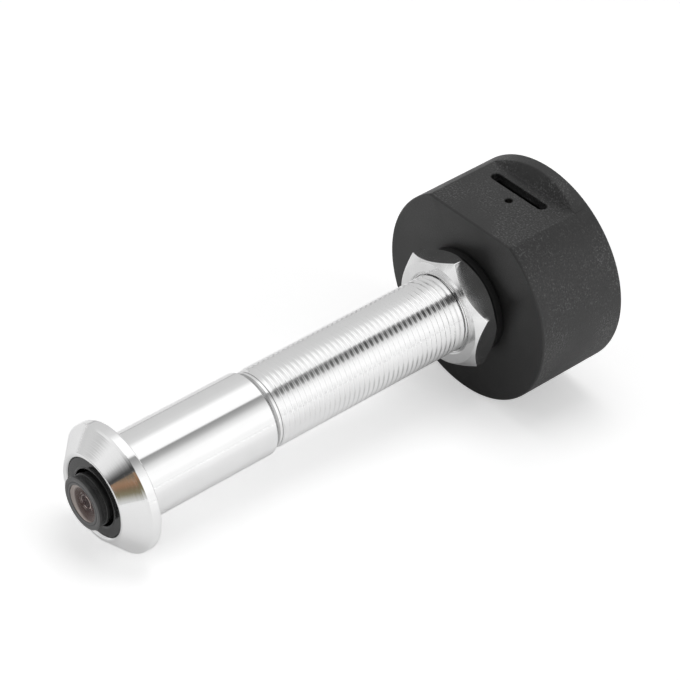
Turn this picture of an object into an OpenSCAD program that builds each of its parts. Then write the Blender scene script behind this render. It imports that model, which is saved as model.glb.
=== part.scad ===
// Peephole door camera: a hollow barrel clamped through a door, with the lens at
// its front end and a round electronics head on its rear end.
// Millimetres. The barrel lies along Y and the lens looks along -Y. +Z is up.
// The origin is on the barrel's axis, in the rear face of the flange, which is the
// face that rests on the outside of the door.

/* [Barrel] */
// Diameter of the flange on the outside of the door
flange_d = 21.4; // [19:0.1:26]
// Width of the flange's straight rim
rim_w = 1.65; // [1:0.05:2.2]
// How far the bezel stands in front of the door
bezel_h = 4.85; // [4:0.05:7]
// Radius of the rounded nose round the bezel's opening
nose_r = 0.55; // [0.2:0.05:0.7]
// Diameter of the opening that the lens looks out of
opening_d = 13.15; // [12.4:0.05:14]
// Depth of the seat for the insert behind that opening
seat_depth = 3.65; // [2.5:0.05:4.2]
// Diameter of the smooth sleeve that fills the hole in the door
sleeve_d = 14; // [13.8:0.1:16]
// Length of the smooth sleeve
sleeve_l = 24.6; // [15:0.1:35]
// Major diameter of the thread
thread_d = 13.2; // [12.8:0.1:13.6]
// Pitch of the thread
pitch = 1; // [0.75:0.25:1.25]
// Number of turns on the thread
thread_turns = 50; // [44:1:60]
// Bore of the barrel
bore_d = 10.7; // [10.4:0.05:10.9]

/* [Nut] */
// Size of the nut across its flats
nut_af = 18.2; // [17:0.1:22]
// Height of the hexagon
nut_h = 4.6; // [4:0.1:8]
// Angle of the chamfer on the nut's corners
nut_chamfer_angle = 42; // [20:1:45]
// Angle of the nut's first corner, from +X towards +Z
nut_turn = 19.4; // [0:0.1:60]
// Thickness of the washer behind the nut
washer_t = 1.25; // [0.8:0.05:2]
// Outer diameter of that washer
washer_d = 18; // [17:0.1:20]

/* [Head] */
// Diameter of the head
head_d = 36.3; // [35.6:0.1:42]
// Length of the head
head_l = 17.4; // [17.2:0.1:22]
// Height of the flat with the card slot above the axis
flat_h = 15.6; // [15.2:0.1:16.2]
// Length of the full round behind that flat
lip_l = 2.4; // [2.2:0.1:4]
// Radius of the hollow corner between the flat and that round
lip_hollow = 1.5; // [0.5:0.1:2]
// Thickness of the head's side walls
wall = 1.5; // [1.2:0.1:1.7]
// Thickness of the head's front wall
front_t = 1.6; // [1.2:0.1:2]
// Thickness of the rear cover
cover_t = 1.5; // [1.2:0.1:1.7]
// How far the cover lies inside the rim
cover_sink = 0.2; // [0.1:0.05:0.4]
// Radius on the head's outer edges
head_round = 0.3; // [0.1:0.05:0.6]
// How far the barrel reaches into the head
engagement = 6.6; // [5.5:0.1:7]

/* [Lens] */
// How far the lens stands in front of the bezel
lens_out = 1.9; // [0.5:0.05:3]
// Diameter of the ring at the front of the lens
lens_ring_d = 8.72; // [8.5:0.02:9.2]
// Diameter of the lens barrel behind that ring
lens_body_d = 8; // [7.8:0.05:8.3]
// Diameter of the lens barrel's thread
lens_thread_d = 7; // [6.8:0.05:7.2]
// Clear opening in front of the first glass
glass_d = 6.6; // [5:0.1:6.7]
// Diameter of the hole in the insert round the lens
well_d = 10.6; // [9.6:0.05:10.7]
// Wall of the tube that carries the lens
carrier_wall = 0.68; // [0.5:0.02:0.7]

/* [Boards] */
// Thickness of the main board
board_t = 1; // [0.8:0.1:1.2]
// Width of a memory card
card_w = 11; // [11:0.1:11.2]
// Length of the card slot in the flat
slot_l = 12.2; // [11.6:0.05:12.6]
// Width of the card slot
slot_w = 1.8; // [1.2:0.05:2]
// Place of the card slot across the head
slot_x = -0.7; // [-1:0.1:-0.4]
// Diameter of the reset pinhole
pinhole_d = 1.3; // [0.9:0.05:1.5]
// Place of the pinhole across the head
pinhole_x = 0.1; // [-0.5:0.1:0.5]
// Thickness of the reset switch, with the pinhole over its middle
switch_t = 2; // [1.8:0.1:2.2]
// Travel of the reset button
reset_travel = 0.25; // [0.15:0.05:0.3]
// Travel of the card slider
card_travel = 1.2; // [0.8:0.1:1.5]

/* [Clearances] */
// Running gap between turned parts, on the radius
run_gap = 0.06; // [0.03:0.01:0.09]
// Gap where a fixed part is seated
seat_gap = 0.05; // [0.03:0.01:0.08]
// Gap between the head and the parked washer
park_gap = 0.1; // [0.05:0.05:0.3]

/* [Hidden] */
$fn = 96;
// A cut runs past the face that it opens by this much
over = 1;
// Gap between flat faces that rest on each other
face_gap = 0.01;

// Places along the barrel
bezel_y = -bezel_h;
seat_y = bezel_y + seat_depth;
sleeve_chamfer = 0.8;
thread_y = sleeve_l + sleeve_chamfer;
runout = 0.6;
end_chamfer = 0.3;
barrel_end = thread_y + runout + thread_turns * pitch + end_chamfer;
thread_depth = 0.6 * pitch;
nut_bore_d = thread_d + 2 * run_gap;
rim_round = 0.35;
rim_chamfer = 0.4;
rim_step = 0.32;

// The insert in the bezel's opening
insert_recess = 0.35;
insert_step_w = 0.22;
insert_step_h = 0.12;
insert_bevel = 0.2;

// Places along the head
head_y = barrel_end - engagement;
head_end = head_y + head_l;
lip_y = head_end - lip_l;
cover_end = head_end - cover_sink;
cover_y = cover_end - cover_t;
front_in = head_y + front_t;
head_r = head_d / 2;
cavity_r = head_r - wall;
flat_in = flat_h - wall;
cover_ledge = 0.25;
cover_r = cavity_r + cover_ledge;
cover_round = 0.2;

// The threaded socket that the barrel screws into
socket_d = 18;
socket_flange_d = 19.6;
socket_flange_t = 1;
socket_skin = 0.5;
socket_y = head_y + socket_skin;
socket_stop = barrel_end + 2 * seat_gap;
entry_gap = 0.2;
socket_end = socket_stop + socket_flange_t;
hub_d = 21;

// The tube that carries the lens from the head to the front of the barrel
tube_d = bore_d - 2 * run_gap;
tube_in = tube_d - 2 * carrier_wall;
tube_flange_t = 0.8;
tube_end = socket_end + tube_flange_t;
tube_screw_head = 1.15;
tube_screw_h = 0.5;
tube_screw_shank = 0.55;
tube_screw_l = 2.6;
tube_screw_r = (nut_bore_d + socket_d) / 4;
tube_flange_d = 2 * (tube_screw_r + tube_screw_head);
notch_w = 5.8;
notch_cut = 0.3;

// The nut and its washer, parked against the head
nut_y = head_y - park_gap - washer_t - nut_h;
nut_back = nut_y + nut_h;
nut_corner_r = nut_af / 2 / cos(30);
nut_face_inset = 0.25;
nut_face_r = nut_af / 2 - nut_face_inset;
nut_chamfer_past = 0.2;
nut_chamfer_r = nut_corner_r + nut_chamfer_past;
nut_chamfer_h = (nut_chamfer_r - nut_face_r) * tan(nut_chamfer_angle);
nut_sink = 0.55;
spigot_wall = 1;
spigot_r = thread_d / 2 + spigot_wall;
spigot_lip = 0.25;
spigot_end = nut_back + washer_t - park_gap;
washer_y = nut_back + seat_gap;
washer_end = nut_back + washer_t;

// The lens
lens_y = bezel_y - lens_out;
lens_edge = 0.15;
lens_bevel = 0.05;
lens_ring_w = 0.7;
lens_neck_w = 0.6;
lens_step_w = 0.8;
lens_step_r = 0.2;
lens_neck_y = lens_y + lens_ring_w;
lens_step_y = lens_neck_y + lens_neck_w;
lens_step_end = lens_step_y + lens_step_w;
lens_shoulder_gap = 0.2;
seal_t = 1;
holder_y = seat_y + seal_t + 2 * seat_gap;
holder_flange_t = 0.7;
holder_thread_l = 7;
holder_room_l = 2.3;
holder_thread_end = holder_y + holder_thread_l;
holder_back = holder_thread_end + holder_room_l;
lens_back_gap = 0.4;
lens_back = holder_thread_end - lens_back_gap;
light_r = 2.55;
filter_ledge = 0.4;
filter_y = holder_thread_end + filter_ledge;
filter_t = 0.35;
sensor_t = 0.9;
sensor_w = 5.2;
filter_w = sensor_w + 0.4;
sensor_board_w = 6.4;
sensor_board_t = 0.6;
sensor_board_y = holder_back + seat_gap;
front_glass_inset = 0.7;
front_glass_t = 1.25;
mid_room_l = 4.1;
rear_room_l = 4.3;
glass_y = lens_y + front_glass_inset;
pocket_a = glass_y + front_glass_t;
pocket_b = pocket_a + mid_room_l;
pocket_c = lens_back - rear_room_l;
pocket_a_r = 3.6;
pocket_b_r = 3.1;
pocket_c_r = 2.6;
throat_r = 2;
retainer_sink = 0.1;
retainer_w = 0.55;
retainer_lip = 0.4;
retainer_bevel = 0.15;
glass_clear = 0.12;
glass_bulge = 0.1;
front_round = 10;
front_back_round = 30;
front_hollow_r = 2.9;
front_hollow_y = 1.9;
spacer_wall = 0.65;
spacer_w = 1.4;
middle_inset = 1.85;
middle_y = pocket_a + middle_inset;
middle_w = 0.75;
middle_round = 8;
middle_back_round = 7;
stop_hole_r = 0.9;
stop_w = 1.3;
stop_t = 0.4;
rear_inset = 0.6;
rear_y = pocket_c + rear_inset;
rear_w = 1.3;
rear_round = 6;
rear_ring_gap = 0.6;
rear_ring_y = rear_y + rear_w + rear_ring_gap;
rear_ring_t = 1;

// The main board and what is on it
board_gap = 1;
board_y = tube_end + board_gap;
board_back = board_y + board_t;
board_edge_gap = 0.9;
board_r = cavity_r - board_edge_gap;
board_top_gap = 0.5;
board_top = flat_in - board_top_gap;
standoff_inset = 1.6;
standoff_r = board_r - standoff_inset;
boss_angles = [24, 156, 204, 336];
boss_size = 1.75;
boss_merge = 0.3;
boss_place = cavity_r - boss_size + boss_merge;
standoff_size = 1.5;
board_screw_r = 0.55;
board_screw_l = 3.6;
board_screw_head = 1.25;
cover_screw_r = 0.65;
cover_screw_l = 5.2;
cover_screw_head = 1.35;
cover_screw_sink = 0.9;
hole_gap = 0.25;
pan_h = 0.6;

// The chips on the rear of the main board
chip_gap = 0.4;
chip_x = 6.1;
chip_z = -5.9;
chip_w = 7.6;
chip_l = 7.4;
chip_t = 0.9;
memory_x = 11.5;
memory_w = 5;
memory_l = 5.4;
memory_t = 0.8;
memory_z = chip_z + (chip_l + memory_l) / 2 + chip_gap;
radio_w = 8.6;
radio_t = 0.5;
shield_inset = 0.3;
shield_h = 1.2;
shield_t = 0.15;
antenna_x = 12.4;
antenna_w = 2;
antenna_l = 5.2;
antenna_t = 1;

// The card socket
card_plane = 1;
card_y = board_back + card_plane;
card_socket_w = 14.5;
card_socket_t = 1.85;
card_socket_l = 14.8;
card_socket_top = board_top;
card_socket_foot = card_socket_top - card_socket_l;
bay_gap = 0.1;
bay_w = card_w + 2 * bay_gap;
bay_t = 0.9;
bay_floor = 0.6;
bay_foot = card_socket_foot + bay_floor;
channel_w = 1.3;
slider_l = 3.5;
card_spring_solid = 1.8;
slider_foot = bay_foot + card_spring_solid + card_travel;
card_spring_turns = 5;
card_spring_wire = 0.1;
card_spring_r = 0.28;
card_spring_sides = 6;
card_spring_steps = 10;
card_spring_l = slider_foot - bay_foot - 2 * seat_gap - card_spring_wire;

// The board's upper screws stand beside the card socket, under the flat, and the
// lower ones below the chips. Each is a place [x, z].
screw_clear = 0.3;
high_screw_x = card_socket_w / 2 + abs(slot_x) + board_screw_head + screw_clear;
low_screw_z = chip_z - chip_l / 2 - board_screw_head - screw_clear;
high_screw_z = min(sqrt(standoff_r * standoff_r - high_screw_x * high_screw_x),
                   board_top - board_screw_head - screw_clear);
low_screw_x = sqrt(standoff_r * standoff_r - low_screw_z * low_screw_z);
standoff_places = [
    [high_screw_x, high_screw_z], [-high_screw_x, high_screw_z],
    [low_screw_x, low_screw_z], [-low_screw_x, low_screw_z]
];

// The reset switch
switch_y = board_y - switch_t / 2;
switch_w = 3.2;
switch_l = 2.6;
button_gap = 0.15;
button_out = 0.75;
button_top = flat_in - button_gap;
switch_top = button_top - button_out;
button_w = 1.4;
button_t = 0.9;
button_l = 1.75;

// The power socket
usb_w = 7.5;
usb_t = 2.7;
usb_l = 5.4;
usb_nose = 0.25;
usb_mouth = -cavity_r - usb_nose;
usb_hole_gap = 0.3;
usb_skin = 0.3;
usb_back = 0.6;
tongue_w = 3.6;
tongue_t = 0.6;
tongue_lift = 0.25;
tongue_inset = 0.6;

// The flexible cable between the two boards
flex_w = 5;
flex_t = 0.2;
flex_bend = 1.1;
flex_start = sensor_board_y + sensor_board_t + seat_gap + flex_t / 2;
connector_t = 1.2;
flex_down = board_y - connector_t / 2;
flex_tail = 3;
plugged = 1.5;
connector_z = -9.3;
connector_l = 3;
connector_w = 6.6;

// Points along an arc, from angle a0 to angle a1 round (cx, cy)
function arc(cx, cy, r, a0, a1, n = 8) =
    [for (i = [0:n]) let (a = a0 + (a1 - a0) * i / n) [cx + r * cos(a), cy + r * sin(a)]];

// A solid turned about the barrel's axis, from points [radius, y]
module turned(points) {
    rotate([-90, 0, 0])
        rotate_extrude()
            polygon(points);
}

module rod(r, y0, y1) {
    translate([0, y0, 0])
        rotate([-90, 0, 0])
            cylinder(r = r, h = y1 - y0);
}

module ring(r0, r1, y0, y1) {
    difference() {
        rod(r1, y0, y1);
        rod(r0, y0 - over, y1 + over);
    }
}

module block(x, y, z) {
    translate([x[0], y[0], z[0]])
        cube([x[1] - x[0], y[1] - y[0], z[1] - z[0]]);
}

// Children moved to a place on a circle round the axis
module polar(radius, angle) {
    translate([radius * cos(angle), 0, radius * sin(angle)])
        children();
}

// A pan head on a plain shank, pointing along -Y, with its head seated at y
module screw(y, head_r, head_h, shank_r, shank_l) {
    drive_r = head_r * 0.5;
    difference() {
        union() {
            rod(head_r, y, y + head_h);
            rod(shank_r, y - shank_l, y + over / 10);
        }
        translate([0, y + head_h * 0.4, 0])
            rotate([-90, 0, 0])
                cylinder(r = drive_r, h = head_h, $fn = 6);
    }
}

// One turned piece: the bezel's nose and cone, the rim, the sleeve and the thread,
// whose turns are drawn as rings. From the nose round to the bore again.
module door_barrel() {
    rim_r = flange_d / 2;
    sleeve_r = sleeve_d / 2;
    crest_r = thread_d / 2;
    root_r = crest_r - thread_depth;
    crest_w = pitch / 8;
    flank_w = thread_depth * tan(30);
    open_r = opening_d / 2;
    start = thread_y + runout;
    color("silver")
        turned(concat(
            [[open_r, seat_y], [open_r, bezel_y + nose_r]],
            arc(open_r + nose_r, bezel_y + nose_r, nose_r, 180, 305),
            [[rim_r - rim_chamfer, -rim_w - rim_step], [rim_r, -rim_w]],
            arc(rim_r - rim_round, -rim_round, rim_round, 0, 90),
            [[sleeve_r, 0], [sleeve_r, sleeve_l], [crest_r, thread_y], [root_r, thread_y + thread_depth / 2]],
            [for (i = [0:thread_turns - 1]) let (y = start + i * pitch)
                each [
                    [root_r, y],
                    [crest_r, y + flank_w],
                    [crest_r, y + flank_w + crest_w],
                    [root_r, y + 2 * flank_w + crest_w]
                ]],
            [[root_r, barrel_end], [bore_d / 2, barrel_end], [bore_d / 2, seat_y]]
        ));
}

// The dark insert in the bezel, with a step round the well
module bezel_insert() {
    outer_r = opening_d / 2 - seat_gap;
    face_y = bezel_y + insert_recess;
    step_r = well_d / 2 + insert_step_w;
    color("dimgray")
        turned([
            [outer_r, face_y],
            [outer_r, seat_y - seat_gap],
            [well_d / 2, seat_y - seat_gap],
            [well_d / 2, face_y + insert_step_h + insert_bevel],
            [step_r, face_y + insert_step_h],
            [step_r, face_y]
        ]);
}

// A round ring between the insert and the lens holder
module lens_seal() {
    cord_r = seal_t / 2;
    color("black")
        translate([0, seat_y + seat_gap + cord_r, 0])
            rotate([-90, 0, 0])
                rotate_extrude()
                    translate([tube_d / 2 - cord_r, 0])
                        circle(r = cord_r, $fn = 32);
}

// The hexagon's chamfers are cones, which leave curved edges on its flats
module clamp_nut() {
    sink_r = nut_bore_d / 2 + nut_sink;
    color("silver")
        difference() {
            union() {
                intersection() {
                    translate([0, nut_y, 0])
                        rotate([-90, 0, 0])
                            rotate([0, 0, -nut_turn])
                                cylinder(r = nut_corner_r, h = nut_h, $fn = 6);
                    turned([
                        [0, nut_y],
                        [nut_face_r, nut_y],
                        [nut_chamfer_r, nut_y + nut_chamfer_h],
                        [nut_chamfer_r, nut_back - nut_chamfer_h],
                        [nut_face_r, nut_back],
                        [0, nut_back]
                    ]);
                }
                rod(spigot_r, nut_back - over, spigot_end);
                rod(spigot_r + spigot_lip, spigot_end - spigot_lip, spigot_end);
            }
            turned([
                [0, nut_y - over],
                [sink_r + over, nut_y - over],
                [sink_r, nut_y],
                [nut_bore_d / 2, nut_y + nut_sink],
                [nut_bore_d / 2, spigot_end + over],
                [0, spigot_end + over]
            ]);
        }
}

// The washer turns freely on the nut's spigot, held by the spigot's rolled lip
module nut_washer() {
    bore_r = spigot_r + run_gap;
    lip_r = spigot_r + spigot_lip + run_gap;
    step_y = spigot_end - spigot_lip - seat_gap;
    color([0.1, 0.1, 0.1])
        turned([
            [bore_r, washer_y],
            [washer_d / 2, washer_y],
            [washer_d / 2, washer_end],
            [lip_r, washer_end],
            [lip_r, step_y],
            [bore_r, step_y]
        ]);
}

// The round outside of the head, with rounded edges
module head_outline() {
    turned(concat(
        [[0, head_y]],
        arc(head_r - head_round, head_y + head_round, head_round, 270, 360, 6),
        arc(head_r - head_round, head_end - head_round, head_round, 0, 90, 6),
        [[0, head_end]]
    ));
}

// The inside of the head, under the flat
module head_cavity(y0, y1) {
    difference() {
        rod(cavity_r, y0, y1);
        block([-head_r, head_r], [y0 - over, y1 + over], [flat_in, head_r]);
    }
}

// What is cut away above the flat, with a hollow corner at its rear end
module above_flat() {
    rotate([90, 0, 90])
        translate([0, 0, -head_r])
            linear_extrude(head_d)
                polygon(concat(
                    [[head_y - over, flat_h]],
                    arc(lip_y - lip_hollow, flat_h + lip_hollow, lip_hollow, 270, 360),
                    [[lip_y, head_r + over], [head_y - over, head_r + over]]
                ));
}

module head_shell() {
    color([0.16, 0.16, 0.16])
        difference() {
            union() {
                difference() {
                    head_outline();
                    head_cavity(front_in, head_end + over);
                    rod(cover_r, cover_y, head_end + over);
                    above_flat();
                }
                rod(hub_d / 2, front_in - over, socket_stop);
                for (a = boss_angles)
                    polar(boss_place, a)
                        rod(boss_size, front_in - over, cover_y);
                for (p = standoff_places)
                    translate([p[0], 0, p[1]])
                        rod(standoff_size, front_in - over, board_y);
            }
            rod(nut_bore_d / 2 + entry_gap, head_y - over, socket_y + over);
            rod(socket_d / 2 + seat_gap, socket_y, socket_stop + over);
            for (a = boss_angles)
                polar(boss_place, a)
                    rod(cover_screw_r + seat_gap, cover_y - cover_screw_l, cover_y + over);
            for (p = standoff_places)
                translate([p[0], 0, p[1]])
                    rod(board_screw_r + seat_gap, board_y - board_screw_l, board_y + over);
            card_slot();
            reset_pinhole();
            usb_hole();
        }
}

// A slot with round ends, through the flat
module card_slot() {
    end_x = slot_l / 2 - slot_w / 2;
    translate([slot_x, card_y, flat_in - over]) {
        for (x = [-end_x, end_x])
            translate([x, 0, 0])
                cylinder(d = slot_w, h = wall + 2 * over);
        translate([-end_x, -slot_w / 2, 0])
            cube([2 * end_x, slot_w, wall + 2 * over]);
    }
}

module reset_pinhole() {
    translate([pinhole_x, switch_y, flat_in - over])
        cylinder(d = pinhole_d, h = wall + 2 * over);
}

module usb_hole() {
    x = usb_w / 2 + usb_hole_gap;
    block([-x, x], [board_back - usb_hole_gap, board_back + usb_t + usb_hole_gap],
          [-head_r - over, usb_mouth + usb_l - usb_back]);
}

module rear_cover() {
    color([0.18, 0.18, 0.18])
        difference() {
            turned(concat(
                [[0, cover_y], [cover_r - seat_gap, cover_y]],
                arc(cover_r - seat_gap - cover_round, cover_end - cover_round, cover_round, 0, 90, 4),
                [[0, cover_end]]
            ));
            for (a = boss_angles)
                polar(boss_place, a) {
                    rod(cover_screw_r + hole_gap, cover_y - over, cover_end + over);
                    rod(cover_screw_head + 2 * seat_gap, cover_end - cover_screw_sink, cover_end + over);
                }
        }
}

module cover_screws() {
    color("black")
        for (a = boss_angles)
            polar(boss_place, a)
                screw(cover_end - cover_screw_sink + face_gap, cover_screw_head, pan_h,
                      cover_screw_r, cover_screw_l);
}

// The metal socket moulded into the head, with a stop for the barrel's end
module barrel_socket() {
    hole_r = tube_d / 2 + 2 * seat_gap;
    color("goldenrod")
        difference() {
            turned([
                [nut_bore_d / 2, socket_y + seat_gap],
                [socket_d / 2, socket_y + seat_gap],
                [socket_d / 2, socket_stop + seat_gap],
                [socket_flange_d / 2, socket_stop + seat_gap],
                [socket_flange_d / 2, socket_end],
                [hole_r, socket_end],
                [hole_r, socket_stop],
                [nut_bore_d / 2, socket_stop]
            ]);
            for (a = [0, 180])
                polar(tube_screw_r, a)
                    rod(tube_screw_shank + seat_gap, socket_end - tube_screw_l, socket_end + over);
        }
}

// The tube that carries the lens slides into the barrel from the head's side
module lens_tube() {
    front = holder_y + holder_flange_t + seat_gap;
    color([0.25, 0.25, 0.27])
        difference() {
            union() {
                rod(tube_d / 2, front, tube_end);
                rod(tube_flange_d / 2, socket_end + face_gap, tube_end);
            }
            rod(tube_in / 2, front - over, tube_end + over);
            for (a = [0, 180])
                polar(tube_screw_r, a)
                    rod(tube_screw_shank + hole_gap, socket_end - over, tube_end + over);
            block([-notch_w / 2, notch_w / 2], [socket_end - notch_cut, tube_end + over],
                  [-tube_flange_d, 0]);
        }
}

module tube_screws() {
    color("silver")
        for (a = [0, 180])
            polar(tube_screw_r, a)
                screw(tube_end + face_gap, tube_screw_head, tube_screw_h, tube_screw_shank, tube_screw_l);
}

// A threaded sleeve for the lens, with a square room for the sensor behind it
module lens_holder() {
    room = filter_w + 2 * seat_gap;
    color([0.12, 0.12, 0.13])
        difference() {
            union() {
                rod(tube_d / 2 - seat_gap, holder_y, holder_y + holder_flange_t);
                rod(tube_in / 2 - seat_gap, holder_y, holder_back);
            }
            rod(lens_thread_d / 2 + seat_gap, holder_y - over, holder_thread_end);
            rod(light_r, holder_y, holder_back);
            block([-room / 2, room / 2], [filter_y - face_gap, holder_back + over], [-room / 2, room / 2]);
        }
}

module lens_barrel() {
    ring_r = lens_ring_d / 2;
    body_r = lens_body_d / 2;
    step_r = body_r + lens_step_r;
    thread_r = lens_thread_d / 2;
    color([0.13, 0.13, 0.14])
        turned([
            [pocket_a_r, lens_y],
            [ring_r - lens_edge, lens_y],
            [ring_r, lens_y + lens_edge],
            [ring_r, lens_neck_y - lens_bevel],
            [body_r, lens_neck_y],
            [body_r, lens_step_y],
            [step_r, lens_step_y + lens_bevel],
            [step_r, lens_step_end - lens_bevel],
            [body_r, lens_step_end],
            [body_r, holder_y - lens_shoulder_gap],
            [thread_r, holder_y - lens_shoulder_gap],
            [thread_r, lens_back],
            [pocket_c_r, lens_back],
            [pocket_c_r, pocket_c],
            [throat_r, pocket_c],
            [throat_r, pocket_b],
            [pocket_b_r, pocket_b],
            [pocket_b_r, pocket_a],
            [pocket_a_r, pocket_a]
        ]);
}

module lens_retainer() {
    front_y = lens_y + retainer_sink;
    color([0.2, 0.2, 0.21])
        turned([
            [glass_d / 2, front_y + retainer_lip],
            [glass_d / 2 + retainer_bevel, front_y],
            [pocket_a_r - seat_gap, front_y],
            [pocket_a_r - seat_gap, front_y + retainer_w],
            [glass_d / 2, front_y + retainer_w]
        ]);
}

// A glass with a spherical front of radius front_r and a spherical rear of rear_r.
// A negative radius is a hollow. The edge lies between y0 and y1.
module glass(r, y0, y1, front_r, rear_r) {
    front_sag = abs(front_r) - sqrt(front_r * front_r - r * r);
    rear_sag = abs(rear_r) - sqrt(rear_r * rear_r - r * r);
    front_a = asin(r / abs(front_r));
    rear_a = asin(r / abs(rear_r));
    front = front_r > 0
        ? arc(0, y0 - front_sag + front_r, front_r, 270, 270 + front_a, 10)
        : arc(0, y0 + front_sag + front_r, -front_r, 90, 90 - front_a, 10);
    rear = rear_r > 0
        ? arc(0, y1 + rear_sag - rear_r, rear_r, 90 - rear_a, 90, 10)
        : arc(0, y1 - rear_sag - rear_r, -rear_r, 270 + rear_a, 270, 10);
    turned(concat(front, rear));
}

module front_glass() {
    color([0.45, 0.33, 0.35])
        difference() {
            union() {
                rod(pocket_a_r - seat_gap, glass_y, pocket_a - seat_gap);
                intersection() {
                    rod(glass_d / 2 - glass_clear, lens_y, glass_y + glass_bulge);
                    glass(glass_d / 2, glass_y - glass_bulge, glass_y + glass_bulge,
                          front_round, front_back_round);
                }
            }
            translate([0, pocket_a + front_hollow_y, 0])
                sphere(r = front_hollow_r);
        }
}

module lens_spacer() {
    color([0.1, 0.1, 0.1])
        ring(pocket_b_r - spacer_wall, pocket_b_r - seat_gap, pocket_a, pocket_a + spacer_w);
}

module middle_glass() {
    color([0.5, 0.45, 0.55])
        glass(pocket_b_r - seat_gap, middle_y, middle_y + middle_w, middle_round, middle_back_round);
}

module aperture_stop() {
    color("black")
        turned([
            [stop_hole_r, pocket_b - seat_gap],
            [stop_hole_r, pocket_b - stop_t],
            [pocket_b_r - spacer_wall, pocket_b - stop_t],
            [pocket_b_r - spacer_wall / 2, pocket_b - seat_gap - stop_w],
            [pocket_b_r - seat_gap, pocket_b - seat_gap - stop_w],
            [pocket_b_r - seat_gap, pocket_b - seat_gap]
        ]);
}

module rear_glass() {
    color([0.5, 0.45, 0.55])
        glass(pocket_c_r - seat_gap, rear_y, rear_y + rear_w, rear_round, rear_round);
}

module rear_retainer() {
    color([0.1, 0.1, 0.1])
        ring(throat_r, pocket_c_r - seat_gap, rear_ring_y, rear_ring_y + rear_ring_t);
}

module infrared_filter() {
    half = filter_w / 2;
    color([0.4, 0.5, 0.7])
        block([-half, half], [filter_y, filter_y + filter_t], [-half, half]);
}

module image_sensor() {
    half = sensor_w / 2;
    color([0.15, 0.2, 0.3])
        block([-half, half], [sensor_board_y - face_gap - sensor_t, sensor_board_y - face_gap],
              [-half, half]);
}

module sensor_board() {
    half = sensor_board_w / 2;
    color("darkgreen")
        block([-half, half], [sensor_board_y, sensor_board_y + sensor_board_t], [-half, half]);
}

// A quarter of a flat bend, round (y, z), between angles a and a + 90
module flex_corner(y, z, a) {
    translate([y, z])
        rotate(a)
            intersection() {
                difference() {
                    circle(r = flex_bend + flex_t / 2);
                    circle(r = flex_bend - flex_t / 2);
                }
                square(flex_bend + flex_t);
            }
}

// The cable starts flat on the sensor board, runs along the axis, and turns down
// into its connector on the main board.
module flex_cable() {
    half = flex_t / 2;
    color([0.75, 0.45, 0.15])
        rotate([90, 0, 90])
            translate([0, 0, -flex_w / 2])
                linear_extrude(flex_w)
                    union() {
                        translate([flex_start - half, -flex_tail])
                            square([flex_t, flex_tail - flex_bend]);
                        flex_corner(flex_start + flex_bend, -flex_bend, 90);
                        translate([flex_start + flex_bend, -half])
                            square([flex_down - flex_start - 2 * flex_bend, flex_t]);
                        flex_corner(flex_down - flex_bend, -flex_bend, 0);
                        translate([flex_down - half, connector_z - plugged])
                            square([flex_t, plugged - connector_z - flex_bend]);
                    }
}

module flex_connector() {
    x = connector_w / 2;
    mouth_x = flex_w / 2 + seat_gap;
    mouth_t = flex_t + 2 * seat_gap;
    color("ivory")
        difference() {
            block([-x, x], [board_y - connector_t, board_y - face_gap],
                  [connector_z - connector_l, connector_z]);
            block([-mouth_x, mouth_x], [flex_down - mouth_t / 2, flex_down + mouth_t / 2],
                  [connector_z - plugged - seat_gap, connector_z + over]);
        }
}

module main_board() {
    color("darkgreen")
        difference() {
            rod(board_r, board_y, board_back);
            block([-board_r, board_r], [board_y - over, board_back + over], [board_top, board_r + over]);
            for (a = boss_angles)
                polar(boss_place, a)
                    rod(boss_size + hole_gap, board_y - over, board_back + over);
            for (p = standoff_places)
                translate([p[0], 0, p[1]])
                    rod(board_screw_r + hole_gap, board_y - over, board_back + over);
        }
}

module board_screws() {
    color("silver")
        for (p = standoff_places)
            translate([p[0], 0, p[1]])
                screw(board_back + face_gap, board_screw_head, pan_h, board_screw_r, board_screw_l);
}

// A part on the rear side of the main board, centred at (x, z)
module on_board(x, z, w, l, t) {
    y = board_back + face_gap;
    block([x - w / 2, x + w / 2], [y, y + t], [z - l / 2, z + l / 2]);
}

module processor() {
    color([0.1, 0.1, 0.1])
        on_board(-chip_x, chip_z, chip_w, chip_l, chip_t);
}

module memory_chip() {
    color([0.1, 0.1, 0.1])
        on_board(-memory_x, memory_z, memory_w, memory_l, memory_t);
}

module radio_board() {
    color("darkblue")
        on_board(chip_x, chip_z, radio_w, chip_l, radio_t);
}

module radio_shield() {
    half_w = radio_w / 2 - shield_inset;
    half_l = chip_l / 2 - shield_inset;
    y0 = board_back + radio_t + 2 * face_gap;
    y1 = y0 + shield_h;
    color("gainsboro")
        translate([chip_x, 0, chip_z])
            difference() {
                block([-half_w, half_w], [y0, y1], [-half_l, half_l]);
                block([shield_t - half_w, half_w - shield_t], [y0 - over, y1 - shield_t],
                      [shield_t - half_l, half_l - shield_t]);
            }
}

module chip_antenna() {
    color("white")
        on_board(antenna_x, memory_z, antenna_w, antenna_l, antenna_t);
}

// A sheet-metal box with a bay for the card and a channel for its slider
module card_socket() {
    half = card_socket_w / 2;
    bay = bay_w / 2;
    color("lightgray")
        difference() {
            block([slot_x - half, slot_x + half], [board_back + face_gap, board_back + card_socket_t],
                  [card_socket_foot, card_socket_top]);
            block([slot_x - bay, slot_x + bay + channel_w], [card_y - bay_t / 2, card_y + bay_t / 2],
                  [bay_foot, card_socket_top + over]);
        }
}

module card_slider() {
    x0 = slot_x + bay_w / 2 + bay_gap;
    t = bay_t / 2 - seat_gap;
    color("ivory")
        block([x0, x0 + channel_w - 2 * bay_gap], [card_y - t, card_y + t],
              [slider_foot, slider_foot + slider_l]);
}

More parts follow.
